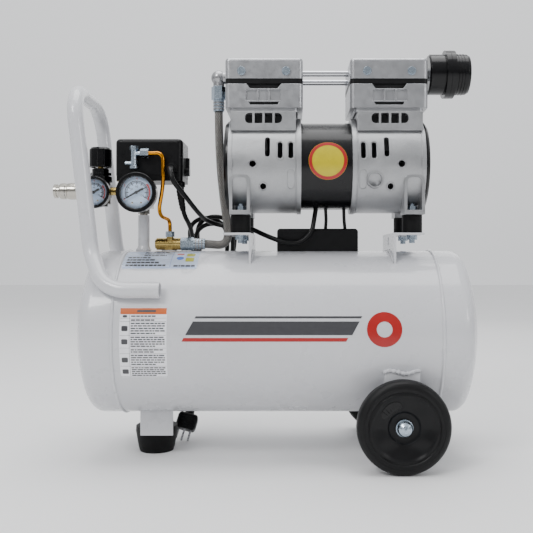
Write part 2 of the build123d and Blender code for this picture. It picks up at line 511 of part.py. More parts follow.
# power cord: gland to hank, hank, hank to plug
e2 = (0.512, -0.859)
nn = (0.859, 0.512)
TOP = (74.3, 314.4)
HANK_X, HANK_R, HANK_L = -88.0, 24.0, 125.0
BOT = (TOP[0] + HANK_L * e2[0], TOP[1] + HANK_L * e2[1])
pc1 = [(-127, -10, 386), (-125, -2, 353), (-114, 28, 334), (-105, 57, 324)]
PLUG = (-129.0, 50.0, 17.5)        # middle of the plug's face, and the way from there to the cord
PLUG_UP = (0.2196, 0.499, 0.8383)
plug_top = tuple(p + 38 * q for p, q in zip(PLUG, PLUG_UP))
pc2 = [(-95, 158, 190), (-112, 160, 168), (-119, 151, 138), (-116.5, 123, 107), (-114, 84, 75), plug_top]
t1 = tube(pc1, CORD_D, "cord a")
t2 = tube(pc2, CORD_D, "cord b")
hank_plane = Plane(origin=(HANK_X, (TOP[0] + BOT[0]) / 2, (TOP[1] + BOT[1]) / 2), x_dir=(0, e2[0], e2[1]), z_dir=(0, nn[0], nn[1]))
ring = SlotCenterToCenter(HANK_L, 2 * (HANK_R + CORD_D / 2)) - SlotCenterToCenter(HANK_L, 2 * (HANK_R - CORD_D / 2))
hank = extrude(hank_plane.offset(-CORD_D * 2) * ring, CORD_D * 4)
t1 = t1 - hank
t2 = t2 - hank
out("power_cord_tube", max(t1.solids(), key=lambda q: q.volume), max(t2.solids(), key=lambda q: q.volume))
out("power_cord_hank", hank)
plug_at = Plane(origin=PLUG, x_dir=(1, 0, -0.262), z_dir=PLUG_UP).location
plug = plug_at * (rev_z([(0, 38), (4.6, 38), (6.6, 31), (8.2, 23), (0, 23)]) + soft(bx(-15.3, 15.3, -11.5, 11.5, 0, 25), lambda q: q.edges(), 5))
out("plug_body", plug)
out("plug_pins", plug_at * bx(-10.8, -7.8, -3, 3, -15.5, 0), plug_at * bx(7.8, 10.8, -3, 3, -15.5, 0), plug_at * bx(-1.5, 1.5, -7, -4, -19, 0))
print("cord routes", hank_plane.origin, BOT)
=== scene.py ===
import bpy, bmesh, math
from mathutils import Vector, Matrix


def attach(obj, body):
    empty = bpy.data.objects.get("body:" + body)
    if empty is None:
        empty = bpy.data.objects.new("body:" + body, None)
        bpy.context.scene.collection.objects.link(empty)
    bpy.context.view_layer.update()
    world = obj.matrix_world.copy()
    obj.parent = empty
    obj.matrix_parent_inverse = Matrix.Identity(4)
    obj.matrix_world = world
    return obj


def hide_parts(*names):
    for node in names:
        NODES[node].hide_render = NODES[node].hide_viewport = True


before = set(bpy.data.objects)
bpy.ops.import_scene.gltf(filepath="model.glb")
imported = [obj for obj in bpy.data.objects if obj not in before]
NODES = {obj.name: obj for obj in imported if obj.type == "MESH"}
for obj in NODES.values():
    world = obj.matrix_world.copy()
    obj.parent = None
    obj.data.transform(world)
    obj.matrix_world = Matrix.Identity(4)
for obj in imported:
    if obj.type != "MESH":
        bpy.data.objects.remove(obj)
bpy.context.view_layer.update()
SX = 4.8                      # layout frame to row frame, mm


def P(x, y, z):
    return Vector(((x + SX) / 1000.0, y / 1000.0, z / 1000.0))


# ------------------------------------------------------------------ camera
cam_data = bpy.data.cameras.new("camera")
cam_data.lens = 49.71
cam_data.sensor_width = 36.0
cam_data.shift_x = -0.0478
cam_data.shift_y = -0.0216
cam = bpy.data.objects.new("camera", cam_data)
bpy.context.collection.objects.link(cam)
cam.location = P(37.9, -1095, 289)
cam.rotation_euler = (math.radians(90), 0, 0)
bpy.context.scene.camera = cam


# ------------------------------------------------------------------ node helpers
class Nt:
    def __init__(self, name):
        self.m = bpy.data.materials.new(name)
        self.m.use_nodes = True
        self.t = self.m.node_tree
        self.b = self.t.nodes["Principled BSDF"]
        self.n_coord = None

    def node(self, kind, **kw):
        n = self.t.nodes.new(kind)
        for k, v in kw.items():
            setattr(n, k, v)
        return n

    def link(self, a, b):
        self.t.links.new(a, b)

    def coord(self, out="Object"):
        if self.n_coord is None:
            self.n_coord = self.node("ShaderNodeTexCoord")
        return self.n_coord.outputs[out]

    def noise(self, scale, detail=4.0, rough=0.55, stretch=None, coord=None):
        n = self.node("ShaderNodeTexNoise")
        n.inputs["Scale"].default_value = scale
        n.inputs["Detail"].default_value = detail
        n.inputs["Roughness"].default_value = rough
        src = coord or self.coord()
        if stretch:
            mp = self.node("ShaderNodeMapping")
            mp.inputs["Scale"].default_value = stretch
            self.link(src, mp.inputs["Vector"])
            src = mp.outputs["Vector"]
        self.link(src, n.inputs["Vector"])
        return n.outputs["Fac"]

    def voronoi(self, scale, feature="F1"):
        n = self.node("ShaderNodeTexVoronoi", feature=feature)
        n.inputs["Scale"].default_value = scale
        self.link(self.coord(), n.inputs["Vector"])
        return n.outputs["Distance"]

    def ramp(self, src, stops):
        r = self.node("ShaderNodeValToRGB")
        el = r.color_ramp.elements
        while len(el) < len(stops):
            el.new(0.5)
        for e, (p, c) in zip(el, stops):
            e.position = p
            e.color = c if len(c) == 4 else (*c, 1)
        self.link(src, r.inputs["Fac"])
        return r.outputs["Color"]

    def rng(self, src, a, b, lo=0.0, hi=1.0):
        n = self.node("ShaderNodeMapRange")
        n.inputs["From Min"].default_value = lo
        n.inputs["From Max"].default_value = hi
        n.inputs["To Min"].default_value = a
        n.inputs["To Max"].default_value = b
        self.link(src, n.inputs["Value"])
        return n.outputs["Result"]

    def math(self, op, a, b=None, clamp=False):
        n = self.node("ShaderNodeMath", operation=op, use_clamp=clamp)
        for i, v in enumerate((a, b)):
            if v is None:
                continue
            if isinstance(v, (int, float)):
                n.inputs[i].default_value = v
            else:
                self.link(v, n.inputs[i])
        return n.outputs[0]

    def mix(self, fac, a, b):
        n = self.node("ShaderNodeMix", data_type="RGBA")
        if isinstance(fac, (int, float)):
            n.inputs[0].default_value = fac
        else:
            self.link(fac, n.inputs[0])
        for i, v in ((6, a), (7, b)):
            if isinstance(v, tuple):
                n.inputs[i].default_value = v if len(v) == 4 else (*v, 1)
            else:
                self.link(v, n.inputs[i])
        return n.outputs[2]

    def bump(self, height, strength, dist=0.001, bevel=0.0):
        n = self.node("ShaderNodeBump")
        n.inputs["Strength"].default_value = strength
        n.inputs["Distance"].default_value = dist
        self.link(height, n.inputs["Height"])
        if bevel:
            bv = self.node("ShaderNodeBevel", samples=4)
            bv.inputs["Radius"].default_value = bevel
            self.link(bv.outputs["Normal"], n.inputs["Normal"])
        self.link(n.outputs["Normal"], self.b.inputs["Normal"])
        return n

    def set(self, **kw):
        names = {"metal": "Metallic", "rough": "Roughness", "coat": "Coat Weight", "coat_rough": "Coat Roughness",
                 "spec": "Specular IOR Level", "alpha": "Alpha", "ior": "IOR", "sheen": "Sheen Weight",
                 "trans": "Transmission Weight", "aniso": "Anisotropic"}
        for k, v in kw.items():
            self.b.inputs[names[k]].default_value = v
        return self

    def base(self, c):
        if isinstance(c, tuple):
            self.b.inputs["Base Color"].default_value = c if len(c) == 4 else (*c, 1)
        else:
            self.link(c, self.b.inputs["Base Color"])
        return self

    def roughness(self, src):
        self.link(src, self.b.inputs["Roughness"])
        return self


def two(c, k):
    return tuple(min(1.0, v * k) for v in c)


def surface(name, colour, rough, metal=0.0, spread=0.08, scale=60.0, grain=900.0, bump=0.08, bevel=0.0, coat=0.0, rvar=0.08, dist=0.0006, spec=0.5, stretch=None):
    t = Nt(name)
    big = t.noise(scale, 5.0, 0.6, stretch)
    t.base(t.ramp(big, [(0.3, two(colour, 1 - spread)), (0.7, two(colour, 1 + spread))]))
    mid = t.noise(scale * 3.1, 4.0, 0.6, stretch)
    t.roughness(t.rng(mid, rough - rvar, rough + rvar, 0.3, 0.7))
    t.set(metal=metal, coat=coat, spec=spec)
    if coat:
        t.set(coat_rough=0.08)
    t.bump(t.noise(grain, 3.0, 0.6, stretch), bump, dist, bevel)
    return t.m


# ------------------------------------------------------------------ materials
PAINT = Nt("white_paint")
_big = PAINT.noise(7.0, 5.0, 0.55)
_fine = PAINT.noise(420.0, 2.0, 0.5)
_col = PAINT.ramp(_big, [(0.3, (0.57, 0.575, 0.60)), (0.7, (0.62, 0.625, 0.65))])
_sp = PAINT.ramp(PAINT.noise(160.0, 6.0, 0.7), [(0.70, (1, 1, 1)), (0.80, (0.90, 0.885, 0.86))])
_mx = PAINT.node("ShaderNodeMix", data_type="RGBA", blend_type="MULTIPLY")
_mx.inputs[0].default_value = 0.6
PAINT.link(_col, _mx.inputs[6]); PAINT.link(_sp, _mx.inputs[7])
PAINT.base(_mx.outputs[2])
PAINT.roughness(PAINT.rng(PAINT.noise(24.0, 4.0), 0.24, 0.34, 0.3, 0.7))
PAINT.set(coat=0.55, coat_rough=0.06, spec=0.5)
PAINT.bump(_fine, 0.10, 0.0005)
M_PAINT = PAINT.m

CAST = Nt("cast_aluminium")
_v = CAST.voronoi(520.0)
_n = CAST.noise(36.0, 6.0, 0.65)
CAST.base(CAST.mix(CAST.rng(_v, 0.0, 0.28), CAST.ramp(_n, [(0.28, (0.33, 0.335, 0.345)), (0.72, (0.43, 0.435, 0.445))]), (0.50, 0.505, 0.51)))
CAST.roughness(CAST.rng(_n, 0.34, 0.50, 0.3, 0.7))
CAST.set(metal=0.85, spec=0.5)
CAST.bump(CAST.math("ADD", CAST.math("MULTIPLY", _v, 0.7), CAST.noise(900.0, 4.0)), 0.22, 0.0008, 0.0009)
M_CAST = CAST.m

M_BLOCK = surface("block_aluminium", (0.43, 0.435, 0.45), 0.36, metal=0.88, spread=0.07, scale=30, grain=1400, bump=0.12, bevel=0.0012)
M_BLACKSTEEL = surface("black_enamel", (0.0022, 0.0022, 0.003), 0.24, metal=0.0, spread=0.35, scale=20, grain=500, bump=0.05, spec=0.3, coat=0.12, rvar=0.05)
M_GASKET = surface("black_plate", (0.003, 0.003, 0.0035), 0.42, metal=0.0, spec=0.25, spread=0.3, scale=80, grain=1200, bump=0.12, bevel=0.0006)
M_PLASTIC = surface("black_plastic", (0.0022, 0.0022, 0.0028), 0.34, spec=0.22, spread=0.3, scale=45, grain=2200, bump=0.20, bevel=0.0008, rvar=0.07)
M_GLOSSPLASTIC = surface("black_gloss_plastic", (0.002, 0.002, 0.0026), 0.22, spec=0.26, spread=0.3, scale=35, grain=900, bump=0.04, bevel=0.0008, rvar=0.05, coat=0.1)
M_RUBBER = surface("rubber", (0.0032, 0.0032, 0.0036), 0.52, spec=0.18, spread=0.3, scale=70, grain=1800, bump=0.25, bevel=0.0008)
M_ZINC = surface("blue_zinc", (0.44, 0.52, 0.60), 0.26, metal=1.0, spread=0.12, scale=110, grain=1600, bump=0.06, bevel=0.0005)
M_STEEL = surface("machined_steel", (0.42, 0.42, 0.43), 0.28, metal=1.0, spread=0.08, scale=90, grain=1500, bump=0.08, stretch=(0.15, 1, 1))
M_CHROME = surface("chrome", (0.62, 0.63, 0.66), 0.10, metal=1.0, spread=0.04, scale=40, grain=900, bump=0.02, bevel=0.0004, rvar=0.04)
M_NICKEL = surface("nickel", (0.45, 0.43, 0.385), 0.18, metal=1.0, spread=0.06, scale=60, grain=1200, bump=0.04, bevel=0.0005, rvar=0.05)
M_BRASS = surface("brass", (0.50, 0.36, 0.12), 0.25, metal=1.0, spread=0.12, scale=80, grain=1500, bump=0.06, bevel=0.0006, rvar=0.07)
M_COPPER = surface("copper", (0.56, 0.225, 0.015), 0.20, metal=1.0, spread=0.14, scale=70, grain=1400, bump=0.04, rvar=0.07)
M_CASTZ = surface("cast_zinc", (0.38, 0.38, 0.39), 0.34, metal=0.95, spread=0.08, scale=60, grain=1200, bump=0.10, bevel=0.0007)
M_PVC = surface("cord_pvc", (0.0022, 0.0022, 0.0026), 0.36, spec=0.22, spread=0.25, scale=90, grain=1600, bump=0.10)
# near-black matte colour for the sheets inside the block openings: painted shade
M_PAINTED_SHADE = surface("painted_shade_inside", (0.006, 0.006, 0.007), 0.7, spread=0.3, scale=60, grain=900, bump=0.1)
M_FELT = surface("filter_felt", (0.12, 0.12, 0.12), 0.9, spread=0.3, scale=300, grain=3000, bump=0.5)
M_WINDING = surface("windings", (0.45, 0.20, 0.10), 0.35, metal=0.7, spread=0.2, scale=200, grain=900, bump=0.5, stretch=(0.1, 1, 1))
M_NEEDLE = surface("needle_black", (0.003, 0.003, 0.003), 0.35, spread=0.3, scale=300, grain=2500, bump=0.05)
M_WELD = surface("weld_painted", (0.55, 0.555, 0.58), 0.26, spread=0.08, scale=300, grain=700, bump=0.35, coat=0.4)

GLASS = Nt("gauge_glass")
GLASS.base((0.92, 0.95, 1.0)).set(alpha=0.035, spec=0.4)
GLASS.roughness(GLASS.rng(GLASS.noise(90.0, 4.0), 0.02, 0.09, 0.3, 0.7))
M_GLASS = GLASS.m


def wheel_material(name, cx, cz):
    t = Nt(name)
    sep = t.node("ShaderNodeSeparateXYZ")
    t.link(t.coord(), sep.inputs[0])
    dx = t.math("SUBTRACT", sep.outputs[0], cx)
    dz = t.math("SUBTRACT", sep.outputs[2], cz)
    r = t.math("SQRT", t.math("ADD", t.math("MULTIPLY", dx, dx), t.math("MULTIPLY", dz, dz)))
    tyre = t.math("GREATER_THAN", r, 0.0432)
    n = t.noise(60.0, 5.0, 0.6)
    hub = t.ramp(n, [(0.3, (0.002, 0.002, 0.0026)), (0.7, (0.0034, 0.0034, 0.0042))])
    rub = t.ramp(n, [(0.3, (0.0025, 0.0025, 0.003)), (0.7, (0.0045, 0.0045, 0.005))])
    scuff = t.ramp(t.noise(25.0, 8.0, 0.75), [(0.60, (0, 0, 0)), (0.78, (1, 1, 1))])
    tread = t.math("MULTIPLY", t.math("GREATER_THAN", r, 0.0605), t.math("MULTIPLY", scuff, 0.45))
    t.base(t.mix(tread, t.mix(tyre, hub, rub), (0.022, 0.021, 0.02)))
    t.set(spec=0.25)
    t.roughness(t.math("ADD", t.math("MULTIPLY", tyre, 0.08), t.rng(n, 0.30, 0.40, 0.3, 0.7)))
    rings = t.math("SINE", t.math("MULTIPLY", r, 2600.0))
    ringed = t.math("MULTIPLY", t.math("MULTIPLY", rings, 0.25), t.math("MULTIPLY", tyre, 1.0))
    t.bump(t.math("ADD", ringed, t.noise(1500.0, 3.0)), 0.22, 0.0006, 0.0012)
    return t.m


BRAID = Nt("steel_braid")
_uv = BRAID.node("ShaderNodeUVMap")
_uv.uv_map = "UVMap"
_s = BRAID.node("ShaderNodeSeparateXYZ")
BRAID.link(_uv.outputs[0], _s.inputs[0])
_a = BRAID.math("MULTIPLY", _s.outputs[0], 2 * math.pi * 12)
_l = BRAID.math("MULTIPLY", _s.outputs[1], 2 * math.pi * 1000 / 5.2)
_p = BRAID.math("ADD", _a, _l)
_q = BRAID.math("SUBTRACT", _a, _l)
_sp_ = BRAID.math("ABSOLUTE", BRAID.math("SINE", BRAID.math("MULTIPLY", _p, 0.5)))
_sq_ = BRAID.math("ABSOLUTE", BRAID.math("SINE", BRAID.math("MULTIPLY", _q, 0.5)))
_over = BRAID.math("GREATER_THAN", BRAID.math("MULTIPLY", BRAID.math("SINE", _a), BRAID.math("SINE", _l)), 0.0)
_h = BRAID.math("ADD", BRAID.math("MULTIPLY", _sp_, _over), BRAID.math("MULTIPLY", _sq_, BRAID.math("SUBTRACT", 1.0, _over)))
_wire = BRAID.math("ABSOLUTE", BRAID.math("SINE", BRAID.math("MULTIPLY", BRAID.math("ADD", BRAID.math("MULTIPLY", _p, _over), BRAID.math("MULTIPLY", _q, BRAID.math("SUBTRACT", 1.0, _over))), 3.0)))
# base colour runs from near black in the gaps between the strands to bright on the crests: painted shade in the weave
# gaps
BRAID.base(BRAID.ramp(_h, [(0.05, (0.004, 0.004, 0.004)), (0.45, (0.065, 0.062, 0.058)), (1.0, (0.27, 0.26, 0.245))]))
BRAID.roughness(BRAID.rng(_wire, 0.42, 0.26))
BRAID.set(metal=0.9)
BRAID.bump(BRAID.math("ADD", BRAID.math("MULTIPLY", _h, 1.0), BRAID.math("MULTIPLY", _wire, 0.25)), 0.8, 0.0009)
M_BRAID = BRAID.m


# ------------------------------------------------------------------ mesh helpers
def mesh_obj(name, verts, faces, mat, body="compressor", smooth=True, ride=True):
    me = bpy.data.meshes.new(name)
    me.from_pydata([tuple(v) for v in verts], [], faces)
    me.validate()
    bm = bmesh.new()
    bm.from_mesh(me)
    bmesh.ops.recalc_face_normals(bm, faces=bm.faces)
    bm.to_mesh(me)
    bm.free()
    for p in me.polygons:
        p.use_smooth = smooth
    me.materials.append(mat)
    ob = bpy.data.objects.new(name, me)
    bpy.context.collection.objects.link(ob)
    if ride:
        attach(ob, body)
    return ob


def sharpen(ob, deg=35):
    me = ob.data
    bm = bmesh.new()
    bm.from_mesh(me)
    for e in bm.edges:
        if len(e.link_faces) == 2 and e.calc_face_angle(0) > math.radians(deg):
            e.smooth = False
    bm.to_mesh(me)
    bm.free()
    return ob


def curve_points(pts, res=10, order=3):
    cu = bpy.data.curves.new("tmp", "CURVE")
    cu.dimensions = "3D"
    sp = cu.splines.new("NURBS")
    sp.points.add(len(pts) - 1)
    for q, p in zip(sp.points, pts):
        q.co = (*p, 1)
    sp.order_u = order
    sp.use_endpoint_u = True
    cu.resolution_u = res
    ob = bpy.data.objects.new("tmp", cu)
    bpy.context.collection.objects.link(ob)
    bpy.context.view_layer.update()
    me = bpy.data.meshes.new_from_object(ob)
    got = [v.co.copy() for v in me.vertices]
    bpy.data.objects.remove(ob)
    bpy.data.curves.remove(cu)
    bpy.data.meshes.remove(me)
    return got


def frames_along(line):
    tang = []
    for i in range(len(line)):
        a = line[max(i - 1, 0)]
        b = line[min(i + 1, len(line) - 1)]
        tang.append((b - a).normalized())
    up = Vector((0, 1, 0))
    if abs(tang[0].dot(up)) > 0.9:
        up = Vector((1, 0, 0))
    n = (up - tang[0] * up.dot(tang[0])).normalized()
    out = []
    for t in tang:
        n = (n - t * n.dot(t)).normalized()
        out.append((t, n, t.cross(n)))
    return out


def length_of(line):
    return sum((b - a).length for a, b in zip(line, line[1:]))


def tube_mesh(name, line, radius, mat, seg=24, body="compressor", caps=True, uv=False):
    """radius: number or function of (distance in metres, fraction)"""
    total = length_of(line)
    verts, faces, uvs = [], [], []
    d = 0.0
    fr = frames_along(line)
    dist = []
    for i, p in enumerate(line):
        if i:
            d += (line[i] - line[i - 1]).length
        dist.append(d)
        r = radius(d, d / total) if callable(radius) else radius
        t, n, b = fr[i]
        for k in range(seg):
            a = 2 * math.pi * k / seg
            verts.append(p + (n * math.cos(a) + b * math.sin(a)) * r)
    for i in range(len(line) - 1):
        for k in range(seg):
            k2 = (k + 1) % seg
            faces.append((i * seg + k, i * seg + k2, (i + 1) * seg + k2, (i + 1) * seg + k))
            uvs.append([(k / seg, dist[i]), ((k + 1) / seg, dist[i]), ((k + 1) / seg, dist[i + 1]), (k / seg, dist[i + 1])])
    if caps:
        faces.append(tuple(range(seg))[::-1])
        uvs.append([(0, 0)] * seg)
        faces.append(tuple(range((len(line) - 1) * seg, len(line) * seg)))
        uvs.append([(0, 0)] * seg)
    me = bpy.data.meshes.new(name)
    me.from_pydata([tuple(v) for v in verts], [], faces)
    if uv:
        lay = me.uv_layers.new(name="UVMap")
        i = 0
        for f in uvs:
            for c in f:
                lay.data[i].uv = c
                i += 1
    for p in me.polygons:
        p.use_smooth = len(p.vertices) == 4
    me.materials.append(mat)
    ob = bpy.data.objects.new(name, me)
    bpy.context.collection.objects.link(ob)
    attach(ob, body)
    return ob


def lathe(name, origin, axis, prof, mat, seg=48, body="compressor", bumpfn=None, close=True):
    """prof: list of (distance along axis, radius) in mm. Closed ring profile if close."""
    axis = Vector(axis).normalized()
    u = axis.orthogonal().normalized()
    w = axis.cross(u)
    verts, faces = [], []
    n = len(prof)
    for k in range(seg):
        a = 2 * math.pi * k / seg
        for j, (h, r) in enumerate(prof):
            rr = r + (bumpfn(j, a) if bumpfn else 0)
            verts.append(origin + axis * (h / 1000) + (u * math.cos(a) + w * math.sin(a)) * (rr / 1000))
    for k in range(seg):
        k2 = (k + 1) % seg
        for j in range(n if close else n - 1):
            j2 = (j + 1) % n
            faces.append((k * n + j, k2 * n + j, k2 * n + j2, k * n + j2))
    ob = mesh_obj(name, verts, faces, mat, body, True)
    return sharpen(ob)


def slab(name, quad_pts, thick, mat, body="compressor", bev=0.0):
    """closed prism from a polygon (list of Vectors) pushed by the Vector thick, with softened edges"""
    n = len(quad_pts)
    verts = list(quad_pts) + [p + thick for p in quad_pts]
    faces = [tuple(range(n))[::-1], tuple(range(n, 2 * n))]
    for i in range(n):
        j = (i + 1) % n
        faces.append((i, j, n + j, n + i))
    ob = mesh_obj(name, verts, faces, mat, body, False)
    if bev:
        bm = bmesh.new()
        bm.from_mesh(ob.data)
        bmesh.ops.bevel(bm, geom=list(bm.edges), offset=bev / 1000, segments=2, profile=0.6, affect="EDGES", clamp_overlap=True)
        bm.to_mesh(ob.data)
        bm.free()
    return ob


def join(name, obs):
    """one piece from several meshes made above, all riding the same body"""
    bm = bmesh.new()
    mats = []
    for o in obs:
        for m in o.data.materials:
            if m not in mats:
                mats.append(m)
    for o in obs:
        me = o.data.copy()
        remap = [mats.index(m) for m in o.data.materials]
        for p in me.polygons:
            p.material_index = remap[p.material_index]
        bm.from_mesh(me)
        bpy.data.meshes.remove(me)
    me = bpy.data.meshes.new(name)
    bm.to_mesh(me)
    bm.free()
    for m in mats:
        me.materials.append(m)
    return me


# ------------------------------------------------------------------ power cord first
E2 = (0.512, -0.859)
NN = (0.859, 0.512)
TOP = (74.3, 314.4)
HX = -88.0


def hank_pt(a, b, c):
    return (HX + b, TOP[0] + a * E2[0] + c * NN[0], TOP[1] + a * E2[1] + c * NN[1])


# one turn of the hank: down the left side, round the bottom, up the right side and over the top;
# the sides draw in at the middle, where the tie holds them
turn_pts = [(-12.5, -30.2), (25.0, -29.2), (62.5, -17.5), (100.0, -29.2), (137.5, -30.2), (155.2, -12.5), (155.2, 12.5), (137.5, 30.2), (100.0, 29.2), (62.5, 17.5), (25.0, 29.2), (-12.5, 30.2), (-30.2, 12.5), (-30.2, -12.5)]
route = [(-127, -10, 386), (-125, -2, 353), (-117, 28, 333), (-116.5, 56, 311)]
fan = {10: (0, 2), 11: (0, 3), 12: (0, 3), 13: (0, 3), 14: (0, 3), 15: (0, 2), 17: (3, -1), 18: (5, -2), 19: (5, -2), 20: (5, -2), 21: (5, -2), 22: (4, -1),
       23: (0, 2), 24: (-7, 5), 25: (-9, 6), 26: (-9, 6), 27: (-9, 6), 28: (-9, 6), 29: (-7, 5), 30: (-2, 2), 32: (-1, 0), 33: (-1, 0), 34: (-1, 0),
       37: (0, -3), 38: (-2, -7), 39: (-3, -8), 40: (-3, -8), 41: (-3, -8), 42: (-3, -8), 43: (-2, -7), 44: (0, -4)}
for i in range(1, 3 * 14 + 4):
    a, b = turn_pts[i % 14]
    fa, fb_ = fan.get(i, (0, 0))
    route.append(hank_pt(a + fa, b + fb_, -11.4 + 7.0 * i / 14))
route += [(-117, 158, 197), (-118, 162, 168), (-119, 151, 138), (-116.5, 123, 107), (-114, 84, 75), (-120.66, 68.96, 49.36)]
cu = bpy.data.curves.new("power_cord", "CURVE")
cu.dimensions = "3D"
spl = cu.splines.new("NURBS")
spl.points.add(len(route) - 1)
for q, p in zip(spl.points, route):
    q.co = (*P(*p), 1)
spl.order_u = 3
spl.use_endpoint_u = True
cu.resolution_u = 8
cu.bevel_depth = 0.0035
cu.bevel_resolution = 5
cu.use_fill_caps = True
cu.materials.append(M_PVC)
cord = bpy.data.objects.new("power_cord", cu)
bpy.context.collection.objects.link(cord)
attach(cord, "compressor")
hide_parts("power_cord_tube", "power_cord_hank")
line = curve_points([P(*p) for p in route], 8)

# tapered ribbed strain relief over the first 32 mm of the cord
first = []
d = 0.0
for a, b in zip(line, line[1:]):
    steps = 6
    for s in range(steps):
        q = a.lerp(b, s / steps)
        if d + (q - a).length <= 0.032:
            first.append(q)
    d += (b - a).length
    if d > 0.034:
        break
relief = tube_mesh("cord_relief", first, lambda dd, f: 0.0056 - 0.0015 * f + 0.0004 * (1 if int(dd * 1000 / 2.4) % 2 else 0), M_RUBBER, 28)
# fabric tie round the hank
tie = []
rr, hw, hc = 4.5, 22.4, 15.9
loop = []
for cx_, cy_, a0 in ((hw - rr, hc - rr, 0), (-hw + rr, hc - rr, 90), (-hw + rr, -hc + rr, 180), (hw - rr, -hc + rr, 270)):
    for s in range(7):
        an = math.radians(a0 + 15 * s)
        loop.append((cx_ + rr * math.cos(an), cy_ + rr * math.sin(an)))
verts, faces = [], []
for (b, c) in loop:
    for a, off in ((56, 0), (57, 0.9), (69, 0.9), (70, 0), (69, -0.2), (57, -0.2)):
        s = 1 + off / 20.0
        verts.append(P(*hank_pt(a - 0.5, b * s, c * s)))
nl = len(loop)
for i in range(nl):
    i2 = (i + 1) % nl
    for j in range(6):
        j2 = (j + 1) % 6
        faces.append((i * 6 + j, i2 * 6 + j, i2 * 6 + j2, i * 6 + j2))
hank_tie = mesh_obj("hank_tie", verts, faces, M_FELT)

# ------------------------------------------------------------------ materials on the CAD nodes
ASSIGN = {
    M_PAINT: ["tank_barrel", "tank_ends", "tank_ports", "undercarriage", "carry_handle", "pump_brackets"],
    M_CAST: ["crankcases", "piston_left", "piston_right", "cooling_fans"],
    M_BLOCK: ["cylinder_blocks", "cylinder_heads"],
    M_BLACKSTEEL: ["motor_shell"],
    M_GASKET: ["valve_plates"],
    M_PLASTIC: ["switch_base", "switch_cover", "switch_lever", "capacitor_box", "cable_glands", "plug_body"],
    M_GLOSSPLASTIC: ["fan_covers", "air_filter_body", "air_filter_cover", "regulator_knob", "gauge_cases", "regulator_body"],
    M_RUBBER: ["rubber_foot", "rubber_mounts"],
    M_ZINC: ["fasteners", "axle_hardware", "line_fittings"],
    M_STEEL: ["motor_shaft", "main_bearings", "cylinder_sleeves", "stator", "rotor_core", "plug_pins", "safety_ring"],
    M_CHROME: ["head_pipes"],
    M_NICKEL: ["coupler_body", "coupler_sleeve", "manifold"],
    M_BRASS: ["check_valve", "outlet_nipple", "safety_valve", "drain_valve_body", "drain_valve_knob", "regulator_screw"],
    M_CASTZ: ["discharge_elbow"],
    M_COPPER: ["unloader_tube"],
    M_PVC: ["motor_wiring"],
    M_GLASS: ["gauge_lenses"],
    M_NEEDLE: ["tank_gauge_needle", "outlet_gauge_needle"],
    M_FELT: ["air_filter_element"],
    wheel_material("wheel_black", P(185, 0, 62.5).x, 0.0625): ["front_wheel", "rear_wheel"],
}
wx, wz = P(185, 0, 62.5).x, 0.0625
for mat, names in ASSIGN.items():
    for n in names:
        o = NODES[n]
        if not o.material_slots:
            o.data.materials.append(mat)
        for s in o.material_slots:
            s.material = mat

# ------------------------------------------------------------------ braided hose piece
hose_line = curve_points([P(*p) for p in [(-71.0, 0, 502), (-70.9, 0.3, 482), (-70.0, 1.0, 445), (-67.5, 2.2, 405), (-63.2, 3.6, 366), (-59.0, 4.8, 338), (-57.0, 5.5, 320), (-60.5, 6, 307.5), (-70.0, 6, 303.6), (-80, 6, 304.8), (-92, 6, 305.5)]], 14)
braid = tube_mesh("hose_braid", hose_line, 0.00615, M_BRAID, 40, uv=True)
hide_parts("braided_hose")

# ------------------------------------------------------------------ tank decals and welds
TZ, TR = 177.2, 118.0


def tank_pt(x, deg, r):
    a = math.radians(deg)
    return P(x, -r * math.cos(a), TZ + r * math.sin(a))


def tank_patch(name, x0, x1, a0, a1, lift, mat, thick=0.18, rad=0.0, slant=0.0):
    """curved panel on the tank front: a0..a1 degrees above the -Y horizontal, with rounded corners if rad (mm)"""
    nx = 2 if rad == 0 else 12
    na = max(2, int(abs(a1 - a0) / 2.0) + 1)
    if rad:
        na = max(na, 14)
    h = TR * math.radians(a1 - a0)
    verts, faces = [], []
    outer, inner = TR + lift + thick, TR + lift
    for layer in (outer, inner):
        for j in range(na + 1):
            t = j / na
            s = t * h
            ins = 0.0
            if rad:
                e = min(s, h - s)
                if e < rad:
                    ins = rad - math.sqrt(max(0.0, rad * rad - (rad - e) ** 2))
            for i in range(nx + 1):
                x = x0 + ins + (x1 - x0 - 2 * ins) * i / nx + slant * t
                verts.append(tank_pt(x, a0 + (a1 - a0) * t, layer))
    row = nx + 1
    off = row * (na + 1)
    for j in range(na):
        for i in range(nx):
            q = (j * row + i, j * row + i + 1, (j + 1) * row + i + 1, (j + 1) * row + i)
            faces.append(q)
            faces.append(tuple(off + v for v in q[::-1]))
    edge = [i for i in range(row)] + [j * row + nx for j in range(1, na + 1)] + [na * row + i for i in range(nx - 1, -1, -1)] + [j * row for j in range(na - 1, 0, -1)]
    for a, b in zip(edge, edge[1:] + edge[:1]):
        faces.append((a, b, off + b, off + a))
    ob = mesh_obj(name, verts, faces, mat)
    return sharpen(ob, 50)


def ink(name, colour, rough=0.35):
    return surface(name, colour, rough, spread=0.06, scale=120, grain=1500, bump=0.03, rvar=0.06, coat=0.25)


M_ORANGE = ink("label_orange", (0.55, 0.095, 0.0008))
M_WHITE = ink("label_white", (0.86, 0.86, 0.90))
M_GREYINK = ink("label_grey", (0.045, 0.045, 0.05))
M_REDINK = ink("label_red", (0.36, 0.004, 0.003))
M_YELLOW = ink("label_yellow", (0.50, 0.41, 0.0005))
M_PLATE = surface("name_plate", (0.50, 0.58, 0.72), 0.30, metal=0.35, spread=0.05, scale=40, grain=1800, bump=0.05, stretch=(0.1, 1, 1))
M_PLATEINK = ink("plate_ink", (0.02, 0.10, 0.42))
M_OLIVE = ink("label_olive", (0.36, 0.36, 0.02))

